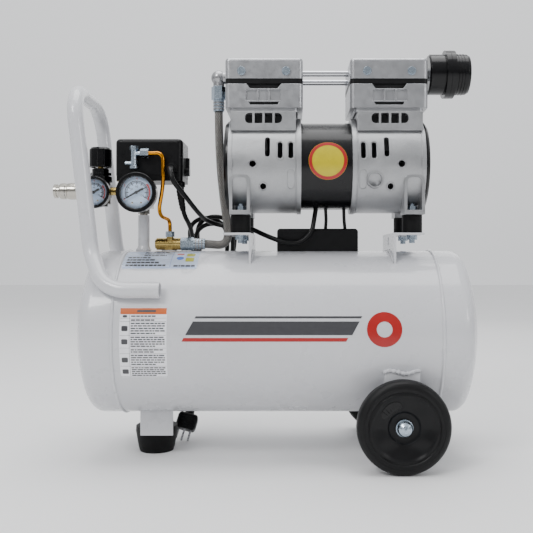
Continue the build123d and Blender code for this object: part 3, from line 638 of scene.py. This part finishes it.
def tank_marks(name, rects, lift, mat, thick=0.10):
    """one piece from many small curved rectangles (x0, x1, a0, a1) on the tank"""
    verts, faces = [], []
    for x0, x1, a0, a1 in rects:
        b0 = len(verts)
        n = max(1, int(abs(a1 - a0) / 2.5))
        for layer in (TR + lift + thick, TR + lift):
            for j in range(n + 1):
                aa = a0 + (a1 - a0) * j / n
                verts.append(tank_pt(x0, aa, layer))
                verts.append(tank_pt(x1, aa, layer))
        off = 2 * (n + 1)
        for j in range(n):
            q = (b0 + 2 * j, b0 + 2 * j + 1, b0 + 2 * j + 3, b0 + 2 * j + 2)
            faces.append(q)
            faces.append(tuple(v + off for v in q[::-1]))
            for e in ((b0 + 2 * j + 1, b0 + 2 * j + 3), (b0 + 2 * j + 2, b0 + 2 * j)):
                faces.append((e[0], e[1], e[1] + off, e[0] + off))
        faces.append((b0, b0 + 1, b0 + 1 + off, b0 + off))
        faces.append((b0 + 2 * n + 1, b0 + 2 * n, b0 + 2 * n + off, b0 + 2 * n + 1 + off))
    return mesh_obj(name, verts, faces, mat, smooth=False)


def words(x0, x1, a_top, height, seed, fill=1.0):
    """a printed line as a row of plain dashes"""
    out_, x, k = [], x0, seed
    end = x0 + (x1 - x0) * fill
    while x < end - 1.5:
        k = (k * 1103515245 + 12345) % 2147483648
        w = 2.2 + 5.2 * (k / 2147483648)
        out_.append((x, min(x + w, end), a_top - height, a_top))
        x += w + 0.9
    return out_


def tank_ring(name, x0, a0, r_in, r_out, lift, mat, thick=0.12, seg=64):
    verts, faces = [], []
    for layer in (TR + lift + thick, TR + lift):
        for i in range(4):
            rr_ = r_in + (r_out - r_in) * i / 3
            for k in range(seg):
                t = 2 * math.pi * k / seg
                verts.append(tank_pt(x0 + rr_ * math.cos(t), a0 + math.degrees(rr_ * math.sin(t) / TR), layer))
    off = seg * 4
    for i in range(3):
        for k in range(seg):
            k2 = (k + 1) % seg
            q = (i * seg + k, i * seg + k2, (i + 1) * seg + k2, (i + 1) * seg + k)
            faces.append(q)
            faces.append(tuple(off + v for v in q[::-1]))
    for k in range(seg):
        k2 = (k + 1) % seg
        faces.append((3 * seg + k, 3 * seg + k2, off + 3 * seg + k2, off + 3 * seg + k))
        faces.append((k2, k, off + k, off + k2))
    return sharpen(mesh_obj(name, verts, faces, mat), 50)


# front information label: plain header, ruled rows, dashes and rounded marks, no lettering
LX0, LX1, LA0, LA1 = -191.7, -128.8, -26.5, 20.5
tank_patch("label_panel", LX0, LX1, LA0, LA1, 0.05, M_WHITE, 0.15, rad=1.5)
tank_patch("label_header", LX0 + 0.5, LX1 - 0.5, 16.1, 20.2, 0.22, M_ORANGE, 0.12)
tank_marks("label_header_bar", [(LX0 + 23, LX0 + 48, 17.5, 18.9)], 0.36, M_GREYINK)
rows_ = [(16.05, 13.5, 1, True), (13.5, 11.3, 1, False), (11.3, 2.4, 5, True), (2.4, -5.75, 5, True), (-5.75, -9.46, 2, False), (-9.46, -18.06, 5, True), (-18.06, -26.0, 5, True)]
rects, rules, marks = [], [], []
for ri, (top, low, n, icon) in enumerate(rows_):
    rules.append((LX0 + 0.6, LX1 - 0.6, low - 0.08, low + 0.08))
    for j in range(n):
        aa = top - 0.75 - j * (top - low - 0.9) / n
        rects += words(LX0 + 15.2, LX1 - 2.4, aa, 0.82 if n > 1 else 0.9, 17 + 31 * ri + 7 * j, 1.0 if j < n - 1 else 0.72)
    if icon:
        marks.append((ri, top, low))
rules.append((LX0 + 13.2, LX0 + 13.6, -26.2, 16.05))
tank_marks("label_text", rects, 0.22, M_GREYINK)
tank_marks("label_rules", rules, 0.22, M_GREYINK, 0.05)
for ri, top, low in marks:
    h = min(3.4, (top - low) * 0.62)
    w = 3.0 if h < 2.5 else 4.2
    mid = (top + low) / 2
    tank_patch("label_mark_%d" % ri, LX0 + 7 - w, LX0 + 7 + w, mid - h / 2, mid + h / 2, 0.22, M_GREYINK, 0.08, rad=1.4)

# rating plate on the shoulder of the tank: dashes, a plain disc and two plain blocks
PX0, PX1 = -199.6, -94.6
tank_patch("plate_base", PX0, PX1, 51.5, 79, 0.05, M_PLATE, 0.3, rad=2)
rects = []
for j in range(3):
    rects += words(PX0 + 26, PX0 + 62, 77.5 - 3.4 * j, 1.9, 5 + j, (1.0, 0.8, 0.9)[j])
for j in range(4):
    rects += words(PX0 + 5, PX0 + 62, 66.8 - 3.5 * j, 2.0, 40 + 9 * j, (0.55, 0.68, 0.8, 0.98)[j])
rects += words(PX0 + 72, PX1 - 3, 55.6, 1.8, 91)
tank_marks("plate_text", rects, 0.38, M_GREYINK)
tank_marks("plate_rules", [(PX0 + 2, PX1 - 2, 53.0, 53.3), (PX0 + 2, PX1 - 2, 78.0, 78.3), (PX0 + 67, PX0 + 67.4, 53, 78.2)], 0.38, M_PLATEINK, 0.06)
tank_ring("plate_disc", PX0 + 79, 65.0, 0.2, 5.2, 0.38, M_PLATEINK, 0.08, 40)
tank_patch("plate_block_a", PX0 + 87, PX0 + 99, 68.0, 73.5, 0.38, M_OLIVE, 0.08, rad=1.2)
tank_patch("plate_block_b", PX0 + 87, PX0 + 99, 60.0, 65.8, 0.38, M_OLIVE, 0.08, rad=1.2)
tank_patch("plate_block_c", PX0 + 73, PX0 + 83, 70.5, 73.5, 0.38, M_REDINK, 0.08, rad=1.0)

# plain stripes and a plain ring on the tank front
tank_patch("stripe_main", -104, 118, 2.6, 11.4, 0.05, M_GREYINK, 0.12, slant=10)
tank_patch("stripe_thin", -92, 130, 13.4, 14.8, 0.05, M_GREYINK, 0.12, slant=1.6)
tank_patch("stripe_red", -109, 110, -1.6, 0.8, 0.05, M_REDINK, 0.12, slant=2.7)
tank_ring("stripe_ring", 161.0, 6.2, 10.5, 23.5, 0.05, M_REDINK)


def weld(name, pts, r=2.0, pitch=2.6, mat=None):
    """scalloped fillet weld along points"""
    ln = curve_points(pts, 12) if len(pts) > 2 else [pts[0].lerp(pts[1], i / 60) for i in range(61)]
    total = length_of(ln)
    n = max(20, int(total * 1000 / 0.5))
    fine = []
    acc = [0.0]
    for a_, b_ in zip(ln, ln[1:]):
        acc.append(acc[-1] + (b_ - a_).length)
    j = 0
    for i in range(n + 1):
        s = total * i / n
        while j < len(ln) - 2 and acc[j + 1] < s:
            j += 1
        f = (s - acc[j]) / max(1e-9, acc[j + 1] - acc[j])
        fine.append(ln[j].lerp(ln[j + 1], min(1, max(0, f))))
    return tube_mesh(name, fine, lambda dd, f: (r * (0.82 + 0.22 * abs(math.sin(dd * 1000 / pitch * math.pi)) + 0.05 * math.sin(dd * 913.0)) * min(1.0, 0.35 + 12 * min(f, 1 - f))) / 1000, mat or M_WELD, 12)


for sg, side in ((-1, "front"), (1, "rear")):
    # wheel bracket plates to the tank
    weld("weld_wheel_%s" % side, [P(160.8, sg * 111, 129.5), P(162.5, sg * 111, 134), P(170, sg * 111.2, 134.6), P(180, sg * 111, 132.4), P(188, sg * 110.6, 129.8), P(197, sg * 110.8, 131.0), P(204, sg * 111.2, 134.6), P(210.2, sg * 111.4, 135.2)], 3.3, 6.2)
    # handle foot along the tank side
    weld("weld_handle_%s_a" % side, [P(-190, sg * 101.3, 238.6), P(-165, sg * 101.3, 238.8), P(-141, sg * 101.3, 238.6)], 1.9, 3.2)
    weld("weld_handle_%s_b" % side, [P(-190, sg * 97.2, 245.2), P(-165, sg * 97.2, 245.0), P(-141, sg * 97.2, 245.2)], 1.9, 3.2)
for xw, nm in ((-18.8, "left"), (180.2, "right")):
    pts = []
    for k in range(13):
        an = math.radians(90 - 31 + 62 * k / 12)
        pts.append(P(xw, 119.0 * math.cos(an), TZ + 119.0 * math.sin(an)))
    weld("weld_web_%s" % nm, pts, 1.9, 3.4)
ring = [P(-182.4 + 9.6 * math.cos(2 * math.pi * k / 16), 9.6 * math.sin(2 * math.pi * k / 16), 296.6 - 0.35 * abs(math.sin(2 * math.pi * k / 16))) for k in range(17)]
weld("weld_riser", ring, 2.2, 3.0)
weld("weld_foot_front", [P(-180, -36.2, 64.6), P(-157, -36.4, 64.9), P(-134.2, -36.2, 64.6)], 1.9, 3.2)
weld("weld_foot_rear", [P(-178.5, 36.2, 64.6), P(-163, 36.4, 64.9), P(-147.5, 36.2, 64.6)], 1.9, 3.2)

# ------------------------------------------------------------------ motor sticker: yellow disc with a red ring, no glyph
MZ, MR = 420.0, 63.9


def motor_pt(x, s, r):
    a = s / MR
    return P(x, -r * math.cos(a), MZ + r * math.sin(a))


def motor_ring(name, x0, s0, r_in, r_out, lift, mat, thick=0.12, seg=64):
    verts, faces = [], []
    rings = [r_in + (r_out - r_in) * i / 4 for i in range(5)]
    for layer in (MR + lift + thick, MR + lift):
        for rr_ in rings:
            for k in range(seg):
                t = 2 * math.pi * k / seg
                verts.append(motor_pt(x0 + rr_ * math.cos(t), s0 + rr_ * math.sin(t), layer))
    off = seg * 5
    for i in range(4):
        for k in range(seg):
            k2 = (k + 1) % seg
            q = (i * seg + k, i * seg + k2, (i + 1) * seg + k2, (i + 1) * seg + k)
            faces.append(q)
            faces.append(tuple(off + v for v in q[::-1]))
    for k in range(seg):
        k2 = (k + 1) % seg
        faces.append((4 * seg + k, 4 * seg + k2, off + 4 * seg + k2, off + 4 * seg + k))
        faces.append((k2, k, off + k, off + k2))
    return sharpen(mesh_obj(name, verts, faces, mat), 50)


motor_ring("sticker_disc", 88.5, 1.5, 0.2, 27.2, 0.1, M_YELLOW)
motor_ring("sticker_ring", 88.5, 1.5, 22.4, 26.9, 0.24, M_REDINK)

# ------------------------------------------------------------------ near-black sheets behind the openings of the blocks: painted shade in the openings
for mirror_, side in ((False, "l"), (True, "r")):
    def mx(x):
        return (2 * 87.0 - x) if mirror_ else x
    for sg, fr_ in ((-1, "f"), (1, "b")):
        y = sg * 46.5
        th = Vector((0, sg * 0.0008, 0))
        slab("painted_shade_cup_%s%s" % (side, fr_), [P(mx(-20.9), y, 525.4), P(mx(16.9), y, 525.4), P(mx(22.3), y, 531.8), P(mx(-26.3), y, 531.8)], th, M_PAINTED_SHADE, bev=0.2)
        slab("painted_shade_slot_%s%s" % (side, fr_), [P(mx(-20.8), y, 502.3), P(mx(16.8), y, 502.3), P(mx(19.4), y, 506.1), P(mx(-23.4), y, 506.1)], th, M_PAINTED_SHADE, bev=0.2)
        y2 = sg * 45.2
        for xa, xb in ((-28, -18.4), (-14.6, -4.2), (-0.4, 10.0), (13.8, 23.4)):
            slab("insert_window_%s%s_%d" % (side, fr_, int(xa + 40)), [P(mx(xa), y2, 475.5), P(mx(xb), y2, 475.5), P(mx(xb), y2, 489.0), P(mx(xa), y2, 489.0)], th, M_PAINTED_SHADE, bev=0.2)

# ------------------------------------------------------------------ gauges
DIAL = surface("dial_face", (0.50, 0.64, 0.84), 0.42, spread=0.025, scale=90, grain=1500, bump=0.02, rvar=0.05)
M_DIALINK = ink("dial_ink", (0.006, 0.006, 0.01), 0.5)
M_DIALRED = ink("dial_red", (0.40, 0.004, 0.004), 0.5)


def text_mesh(name, body, size, loc, mat):
    cu_ = bpy.data.curves.new(name, "FONT")
    cu_.body = body
    cu_.size = size
    cu_.extrude = 0.00004
    cu_.align_x = "CENTER"
    cu_.align_y = "CENTER"
    ob = bpy.data.objects.new(name, cu_)
    bpy.context.collection.objects.link(ob)
    bpy.context.view_layer.update()
    me = bpy.data.meshes.new_from_object(ob)
    bpy.data.objects.remove(ob)
    rot = Matrix.Rotation(math.radians(90), 4, "X")
    me.transform(Matrix.Translation(loc) @ rot)
    me.materials.clear()
    me.materials.append(mat)
    o2 = bpy.data.objects.new(name, me)
    bpy.context.collection.objects.link(o2)
    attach(o2, "compressor")
    return o2


def dial(tag, x, z, yf, r, r_open):
    """dial disc with 270 degrees of ticks from lower left, clockwise, and a red zone at the end"""
    yd = yf + 6.52
    c = P(x, yd, z)
    R1 = r_open - 0.3
    seg = 64
    verts, faces = [P(x, yd, z)], []
    for rr_ in (R1 * 0.5, R1):
        for k in range(seg):
            t = 2 * math.pi * k / seg
            verts.append(P(x + rr_ * math.cos(t), yd, z + rr_ * math.sin(t)))
    for k in range(seg):
        k2 = (k + 1) % seg
        faces.append((0, 1 + k2, 1 + k))
        faces.append((1 + k, 1 + k2, 1 + seg + k2, 1 + seg + k))
    nv, front_ = len(verts), list(faces)
    verts += [v + Vector((0, 0.00006, 0)) for v in verts]
    faces += [tuple(nv + v for v in f[::-1]) for f in front_]
    for k in range(seg):
        a_, b_ = 1 + seg + k, 1 + seg + (k + 1) % seg
        faces.append((b_, nv + b_, nv + a_, a_))
    mesh_obj("dial_%s" % tag, verts, faces, DIAL)
    start, sweep_, nt = 209.0, 240.0, 40
    for ri, ro, wt, sel, mat, nm in ((0.58, 0.71, 0.80, lambda i: i % 5 != 0, M_DIALINK, "minor"), (0.50, 0.73, 1.30, lambda i: i % 5 == 0, M_DIALINK, "major")):
        verts, faces = [], []
        for i in range(nt + 1):
            if not sel(i):
                continue
            t = math.radians(start - sweep_ * i / nt)
            ux, uz = math.cos(t), math.sin(t)
            px, pz = -uz, ux
            b0 = len(verts)
            for layer in (yd - 0.05, yd - 0.015):
                for rr_, sgn in ((ri * R1, -1), (ri * R1, 1), (ro * R1, 1), (ro * R1, -1)):
                    verts.append(P(x + ux * rr_ + px * sgn * wt / 2, layer, z + uz * rr_ + pz * sgn * wt / 2))
            for f in ((0, 1, 2, 3), (7, 6, 5, 4), (0, 4, 5, 1), (1, 5, 6, 2), (2, 6, 7, 3), (3, 7, 4, 0)):
                faces.append(tuple(b0 + v for v in f))
        mesh_obj("dial_%s_%s" % (tag, nm), verts, faces, mat, smooth=False)
    # rings: thin ink arc and a red arc on the last quarter
    for nm, ri, ro, t0, t1, mat in (("arc", 0.705, 0.745, start, start - sweep_, M_DIALINK), ("red", 0.765, 0.865, 40, -34, M_DIALRED)):
        verts, faces = [], []
        n = 48
        for layer in (yd - 0.05, yd - 0.015):
            for i in range(n + 1):
                t = math.radians(t0 + (t1 - t0) * i / n)
                for rr_ in (ri * R1, ro * R1):
                    verts.append(P(x + rr_ * math.cos(t), layer, z + rr_ * math.sin(t)))
        off = 2 * (n + 1)
        for i in range(n):
            q = (2 * i, 2 * i + 1, 2 * i + 3, 2 * i + 2)
            faces.append(q)
            faces.append(tuple(off + v for v in q[::-1]))
            faces.append((2 * i + 1, off + 2 * i + 1, off + 2 * i + 3, 2 * i + 3))
            faces.append((2 * i, 2 * i + 2, off + 2 * i + 2, off + 2 * i))
        faces.append((0, off, off + 1, 1))
        faces.append((2 * n, 2 * n + 1, off + 2 * n + 1, off + 2 * n))
        mesh_obj("dial_%s_%s" % (tag, nm), verts, faces, mat, smooth=False)
    for i, txt in enumerate(("0", "2", "4", "6", "8")):
        t = math.radians(start - sweep_ * i / 4)
        text_mesh("dial_%s_digit_%d" % (tag, i), txt, r_open * 0.21 / 1000, P(x + 0.87 * R1 * math.cos(t), yd - 0.06, z + 0.87 * R1 * math.sin(t)), M_DIALRED)
    for i, txt in enumerate(("0", "30", "60", "90", "120")):
        t = math.radians(start - sweep_ * i / 4)
        text_mesh("dial_%s_small_%d" % (tag, i), txt, r_open * 0.17 / 1000, P(x + 0.37 * R1 * math.cos(t), yd - 0.06, z + 0.37 * R1 * math.sin(t)), M_DIALINK)
    # two small brass screws low on the dial
    for sx in (-1, 1):
        lathe("dial_%s_screw_%d" % (tag, sx + 1), P(x + sx * r * 0.22, yd + 0.1, z - r * 0.50), (0, -1, 0), [(0, 0.05), (0, 1.15), (0.45, 1.15), (0.7, 0.7), (0.7, 0.45), (0.4, 0.4), (0.4, 0.05)], M_BRASS, 20)
    # polished inner rim of the case
    lathe("dial_%s_rim" % tag, P(x, yf + 0.1, z), (0, 1, 0), [(0.0, r_open + 1.2), (0.0, r - 1.3), (0.35, r - 1.3), (0.5, r_open + 1.2)], M_GLOSSPLASTIC, 72)


def pointer(tag, body, x, z, yf, r_open, deg):
    """tapered pointer standing at its rest angle"""
    t = math.radians(deg)
    ux, uz, px, pz = math.cos(t), math.sin(t), -math.sin(t), math.cos(t)
    out_ = []
    for a_, b_ in ((0.90 * r_open, 0.5), (0.30 * r_open, 1.2), (-0.42 * r_open, 1.5), (-0.42 * r_open, -1.5), (0.30 * r_open, -1.2), (0.90 * r_open, -0.5)):
        out_.append((x + ux * a_ + px * b_, z + uz * a_ + pz * b_))
    verts = [P(a_, yf, b_) for a_, b_ in out_] + [P(a_, yf + 0.35, b_) for a_, b_ in out_]
    n = len(out_)
    faces = [tuple(range(n)), tuple(range(2 * n - 1, n - 1, -1))] + [(k, k + n, (k + 1) % n + n, (k + 1) % n) for k in range(n)]
    mesh_obj("pointer_%s" % tag, verts, faces, M_NEEDLE, body=body, smooth=False)


dial("tank", -182.4, 377.6, -58, 28.5, 23.0)
dial("outlet", -246.6, 379.0, -44, 23.2, 19.3)
pointer("tank", "tank_needle", -182.4, 377.6, -58 + 2.7, 23.0, 209)
pointer("outlet", "outlet_needle", -246.6, 379.0, -44 + 2.7, 19.3, 209)

# ------------------------------------------------------------------ knurled grip on the coupler sleeve
verts, faces = [], []
nx, na = 34, 120
x0, x1 = -294.0, -279.2
prof = []
for i in range(nx + 1):
    x = x0 + (x1 - x0) * i / nx
    fade = min(1.0, 4.0 * min(i / nx, 1 - i / nx))
    for k in range(na):
        t = 2 * math.pi * k / na
        u1 = math.sin(t * 30 + (x - x0) * 2.5)
        u2 = math.sin(t * 30 - (x - x0) * 2.5)
        rr_ = 12.05 + 0.30 * fade * (0.5 + 0.25 * (abs(u1) + abs(u2)))
        verts.append(P(x, rr_ * math.cos(t), 383.8 + rr_ * math.sin(t)))
for k in range(na):
    t = 2 * math.pi * k / na
    verts.append(P(x1 + 0.1, 11.6 * math.cos(t), 383.8 + 11.6 * math.sin(t)))
for k in range(na):
    t = 2 * math.pi * k / na
    verts.append(P(x0 - 0.1, 11.6 * math.cos(t), 383.8 + 11.6 * math.sin(t)))
for i in range(nx):
    for k in range(na):
        k2 = (k + 1) % na
        faces.append((i * na + k, i * na + k2, (i + 1) * na + k2, (i + 1) * na + k))
e1, e0 = (nx + 1) * na, (nx + 2) * na
for k in range(na):
    k2 = (k + 1) % na
    faces.append((nx * na + k, nx * na + k2, e1 + k2, e1 + k))
    faces.append((k2, k, e0 + k, e0 + k2))
    faces.append((e1 + k, e1 + k2, e0 + k2, e0 + k))
mesh_obj("sleeve_knurl", verts, faces, M_NICKEL, body="sleeve")

# ------------------------------------------------------------------ wheels: moulded dish with six lobes in a rounded tyre
M_WHEEL = wheel_material("wheel_moulded", wx, wz)


def dish_y(r, t):
    k = max(0.0, min(1.0, (r - 22.0) / 22.0))
    return 133.9 + 4.3 * k ** 1.3 - 1.1 * math.cos(6 * t) * math.sin(math.pi * k)


WPROF = [("h", 6.3, 131.2), ("h", 14.0, 131.2), ("h", 19.0, 131.2), ("h", 20.4, 131.8), ("h", 21.3, 133.4), ("h", 22.4, 134.0),
         ("d", 25.0, 0), ("d", 28.5, 0), ("d", 32.0, 0), ("d", 35.5, 0), ("d", 38.6, 0), ("d", 41.0, 0),
         ("l", 42.4, 138.4), ("l", 43.6, 139.2), ("l", 44.6, 139.3), ("h", 46.6, 138.3), ("h", 47.4, 138.2), ("h", 48.4, 139.5), ("h", 50.0, 139.9),
         ("h", 52.6, 139.9), ("h", 53.2, 139.3), ("h", 53.8, 139.8), ("h", 56.0, 139.5), ("h", 58.6, 138.4), ("h", 60.4, 136.6), ("h", 61.6, 134.4),
         ("h", 62.3, 131.8), ("h", 62.5, 129.0), ("h", 62.5, 124.0), ("h", 62.3, 121.0), ("h", 61.6, 118.4), ("h", 60.2, 116.0), ("h", 58.0, 114.2), ("h", 55.0, 113.3),
         ("h", 46.0, 113.2), ("h", 44.0, 115.2), ("h", 38.0, 115.6), ("h", 37.0, 117.8), ("h", 17.0, 117.8), ("h", 16.0, 113.1), ("h", 6.3, 113.1)]
for sg, body in ((-1, "front_wheel"), (1, "rear_wheel")):
    seg = 144
    n = len(WPROF)
    verts, faces = [], []
    for k in range(seg):
        t = 2 * math.pi * k / seg
        for kind, r_, y_ in WPROF:
            if kind == "d":
                y_ = dish_y(r_, t)
            if kind == "l" or kind == "d":
                r_ = r_ + (1.2 * math.cos(6 * t) * max(0.0, (r_ - 30) / 14.0))
            verts.append(P(185 + r_ * math.cos(t), sg * y_, 62.5 + r_ * math.sin(t)))
    for k in range(seg):
        k2 = (k + 1) % seg
        for j in range(n):
            j2 = (j + 1) % n
            faces.append((k * n + j, k2 * n + j, k2 * n + j2, k * n + j2))
    w = mesh_obj("%s_moulded" % body, verts, faces, M_WHEEL, body=body)
    sharpen(w, 42)
    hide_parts(body)
    # raised oval pad with plain ribs, upper left of the face
    verts, faces = [], []
    na, nr = 40, 6
    for layer in (0, 1):
        for i in range(na + 1):
            f = i / na
            t = math.radians(98 + 58 * f)
            half = 6.6 * math.sqrt(max(0.02, 1 - abs(2 * f - 1) ** 3.0))
            for j in range(nr + 1):
                r_ = 31.2 + half * (2 * j / nr - 1)
                rib = 0.35 if (i % 5 in (1, 2) and 0 < j < nr and 4 < i < na - 4) else 0.0
                y_ = dish_y(r_, t) + (-0.8 if layer else 0.55 + rib)
                verts.append(P(185 + (-sg) * r_ * math.cos(t), sg * y_, 62.5 + r_ * math.sin(t)))
    row = nr + 1
    off = row * (na + 1)
    for i in range(na):
        for j in range(nr):
            q = (i * row + j, i * row + j + 1, (i + 1) * row + j + 1, (i + 1) * row + j)
            faces.append(q)
            faces.append(tuple(off + v for v in q[::-1]))
    edge = [j for j in range(row)] + [i * row + nr for i in range(1, na + 1)] + [na * row + j for j in range(nr - 1, -1, -1)] + [i * row for i in range(na - 1, 0, -1)]
    for a_, b_ in zip(edge, edge[1:] + edge[:1]):
        faces.append((a_, b_, off + b_, off + a_))
    sharpen(mesh_obj("%s_pad" % body, verts, faces, M_GLOSSPLASTIC, body=body), 40)

# ------------------------------------------------------------------ raised outlines on the drums
DR = 69.0


def drum_pt(x, z, lift, sg):
    dz = z - 420.0
    a_ = math.asin(max(-0.99, min(0.99, dz / DR)))
    r_ = DR + lift
    return P(x, sg * r_ * math.cos(a_), 420.0 + r_ * math.sin(a_))


def stadium(cx_, cz_, hw_, hh_, n=10):
    out_ = []
    for k in range(2 * n + 2):
        if k <= n:
            t = math.pi * k / n
            out_.append((cx_ + hw_ * math.cos(t), cz_ + (hh_ - hw_) + hw_ * math.sin(t)))
        else:
            t = math.pi + math.pi * (k - n - 1) / n
            out_.append((cx_ + hw_ * math.cos(t), cz_ - (hh_ - hw_) + hw_ * math.sin(t)))
    return out_


def ridge(name, outer, inner, h, sg):
    verts, faces = [], []
    n = len(outer)
    for (xo, zo), (xi, zi) in zip(outer, inner):
        xm, zm = (xo + xi) / 2, (zo + zi) / 2
        verts += [drum_pt(xo, zo, -0.4, sg), drum_pt(xo + (xm - xo) * 0.4, zo + (zm - zo) * 0.4, h, sg), drum_pt(xi + (xm - xi) * 0.4, zi + (zm - zi) * 0.4, h, sg), drum_pt(xi, zi, -0.4, sg)]
    for k in range(n):
        k2 = (k + 1) % n
        for j in range(4):
            j2 = (j + 1) % 4
            faces.append((k * 4 + j, k2 * 4 + j, k2 * 4 + j2, k * 4 + j2))
    return sharpen(mesh_obj(name, verts, faces, M_CAST), 40)


for side, mxf in (("l", lambda x: x), ("r", lambda x: 174.0 - x)):
    for sg, fr_ in ((-1, "f"), (1, "b")):
        for i, (cx_, cz_, hw_, hh_, wd) in enumerate(((21.3, 435.4, 5.6, 13.9, 1.3), (36.3, 435.4, 5.6, 13.9, 1.3), (36.3, 395.0, 5.4, 13.6, 1.1), (-17.1, 416.4, 6.9, 6.9, 1.0), (-2.7, 385.6, 6.3, 6.3, 1.0))):
            c_ = mxf(cx_)
            ridge("drum_outline_%s%s_%d" % (side, fr_, i), stadium(c_, cz_, hw_, hh_), stadium(c_, cz_, hw_ - wd, hh_ - wd), 0.9, sg)
    for i, xr in enumerate((-46.2, 43.0)):
        lathe("drum_band_%s_%d" % (side, i), P(mxf(xr), 0, 420), (1, 0, 0), [(-0.7, 68.8), (-0.4, 69.45), (0.4, 69.45), (0.7, 68.8), (0.0, 68.6)], M_CAST, 120)

# ------------------------------------------------------------------ small details
# moulded grip ribs round the plug, in the plug's own frame
pu = Vector((0.2196, 0.499, 0.8383)).normalized()
px_ = Vector((1, 0, -0.262)).normalized()
py_ = pu.cross(px_)
for k in range(5):
    loop_ = []
    for cx_, cy_, a0 in ((12.3, 8.5, 0), (-12.3, 8.5, 90), (-12.3, -8.5, 180), (12.3, -8.5, 270)):
        for q_ in range(6):
            an = math.radians(a0 + 18 * q_)
            loop_.append((cx_, cy_, math.cos(an), math.sin(an)))
    verts, faces = [], []
    for cx_, cy_, ca, sa in loop_:
        for rr_, hh in ((2.6, -0.8), (3.5, -0.45), (3.5, 0.45), (2.6, 0.8)):
            v = P(-129.0, 50.0, 17.5) + (px_ * (cx_ + rr_ * ca) + py_ * (cy_ + rr_ * sa) + pu * (7.0 + 2.9 * k + hh)) / 1000.0
            verts.append(v)
    nl = len(loop_)
    for i in range(nl):
        i2 = (i + 1) % nl
        for j in range(4):
            j2 = (j + 1) % 4
            faces.append((i * 4 + j, i2 * 4 + j, i2 * 4 + j2, i * 4 + j2))
    mesh_obj("plug_rib_%d" % k, verts, faces, M_PLASTIC)
# cover screw of the pressure switch
lathe("switch_screw", P(-168, 0, 457.0), (0, 0, 1), [(-0.6, 0.05), (-0.6, 4.4), (0.6, 4.4), (1.3, 3.2), (1.3, 0.9), (0.5, 0.8), (0.5, 0.05)], M_ZINC, 32)
# filter louvres: raised rings round the cover
for k in range(3):
    lathe("filter_ring_%d" % k, P(281.5 + 4.2 * k, 0, 557), (1, 0, 0), [(-0.9, 29.4), (-0.5, 30.1), (0.5, 30.1), (0.9, 29.4), (0, 29.0)], M_GLOSSPLASTIC, 96)
# ferrule crimp rings
for k in range(3):
    lathe("crimp_top_%d" % k, P(-71, 0, 505.5 + 4.6 * k), (0, 0, 1), [(-1.3, 8.15), (-0.7, 8.7), (0.7, 8.7), (1.3, 8.15), (0, 7.9)], M_STEEL, 48)
    lathe("crimp_low_%d" % k, P(-105.5 + 4.6 * k, 6, 305.5), (1, 0, 0), [(-1.3, 7.95), (-0.7, 8.5), (0.7, 8.5), (1.3, 7.95), (0, 7.7)], M_STEEL, 48)

# ------------------------------------------------------------------ stage: floor and light
fl = bpy.data.meshes.new("floor")
fl.from_pydata([(-6, -6, 0), (6, -6, 0), (6, 6, 0), (-6, 6, 0)], [], [(0, 1, 2, 3)])
floor = bpy.data.objects.new("floor", fl)
bpy.context.collection.objects.link(floor)
FL = Nt("floor_pale")
FL.base(FL.ramp(FL.noise(3.0), [(0.3, (0.83, 0.83, 0.83)), (0.7, (0.85, 0.85, 0.85))]))
FL.set(rough=0.7, spec=0.2)
fl.materials.append(FL.m)


def area(name, loc, target, size, power, size_y=None, colour=(1, 1, 1)):
    ld = bpy.data.lights.new(name, "AREA")
    ld.shape = "RECTANGLE"
    ld.size = size
    ld.size_y = size_y or size
    ld.energy = power
    ld.color = colour
    ob = bpy.data.objects.new(name, ld)
    bpy.context.collection.objects.link(ob)
    ob.location = loc
    ob.rotation_euler = (Vector(target) - Vector(loc)).to_track_quat("-Z", "Y").to_euler()
    return ob


area("key", (-1.1, -1.7, 1.9), (0, 0, 0.35), 0.7, 27)
area("fill", (1.8, -1.5, 1.0), (0, 0, 0.3), 0.5, 7)
area("top", (0.0, 0.0, 2.2), (0, 0, 0.3), 1.5, 30)
area("rim", (0.5, 1.8, 1.2), (0, 0, 0.35), 1.2, 4)
WORLD_FRONT, WORLD_BACK, WORLD_UP = 0.28, 0.74, 0.72
world = bpy.data.worlds.new("studio")
world.use_nodes = True
wn = world.node_tree
bg = wn.nodes["Background"]
tc = wn.nodes.new("ShaderNodeTexCoord")
sp_ = wn.nodes.new("ShaderNodeSeparateXYZ")
wn.links.new(tc.outputs["Generated"], sp_.inputs[0])


def wmath(op, a, b=None, clamp=False):
    n_ = wn.nodes.new("ShaderNodeMath")
    n_.operation = op
    n_.use_clamp = clamp
    for k_, v_ in enumerate((a, b)):
        if v_ is None:
            continue
        if isinstance(v_, (int, float)):
            n_.inputs[k_].default_value = v_
        else:
            wn.links.new(v_, n_.inputs[k_])
    return n_.outputs[0]


back_ = wmath("MULTIPLY", wmath("POWER", wmath("MULTIPLY_ADD", sp_.outputs[1], 0.5), 2.2), WORLD_BACK)
up_ = wmath("MULTIPLY", wmath("MAXIMUM", sp_.outputs[2], 0.0), WORLD_UP)
sum_ = wmath("ADD", wmath("ADD", back_, up_), WORLD_FRONT)
wn.links.new(sum_, bg.inputs["Strength"])
bg.inputs["Color"].default_value = (0.97, 0.98, 1.0, 1)
for n_ in wn.nodes:
    if n_.type == "MATH" and n_.operation == "MULTIPLY_ADD":
        n_.inputs[2].default_value = 0.5
bpy.context.scene.world = world

bpy.context.view_layer.update()
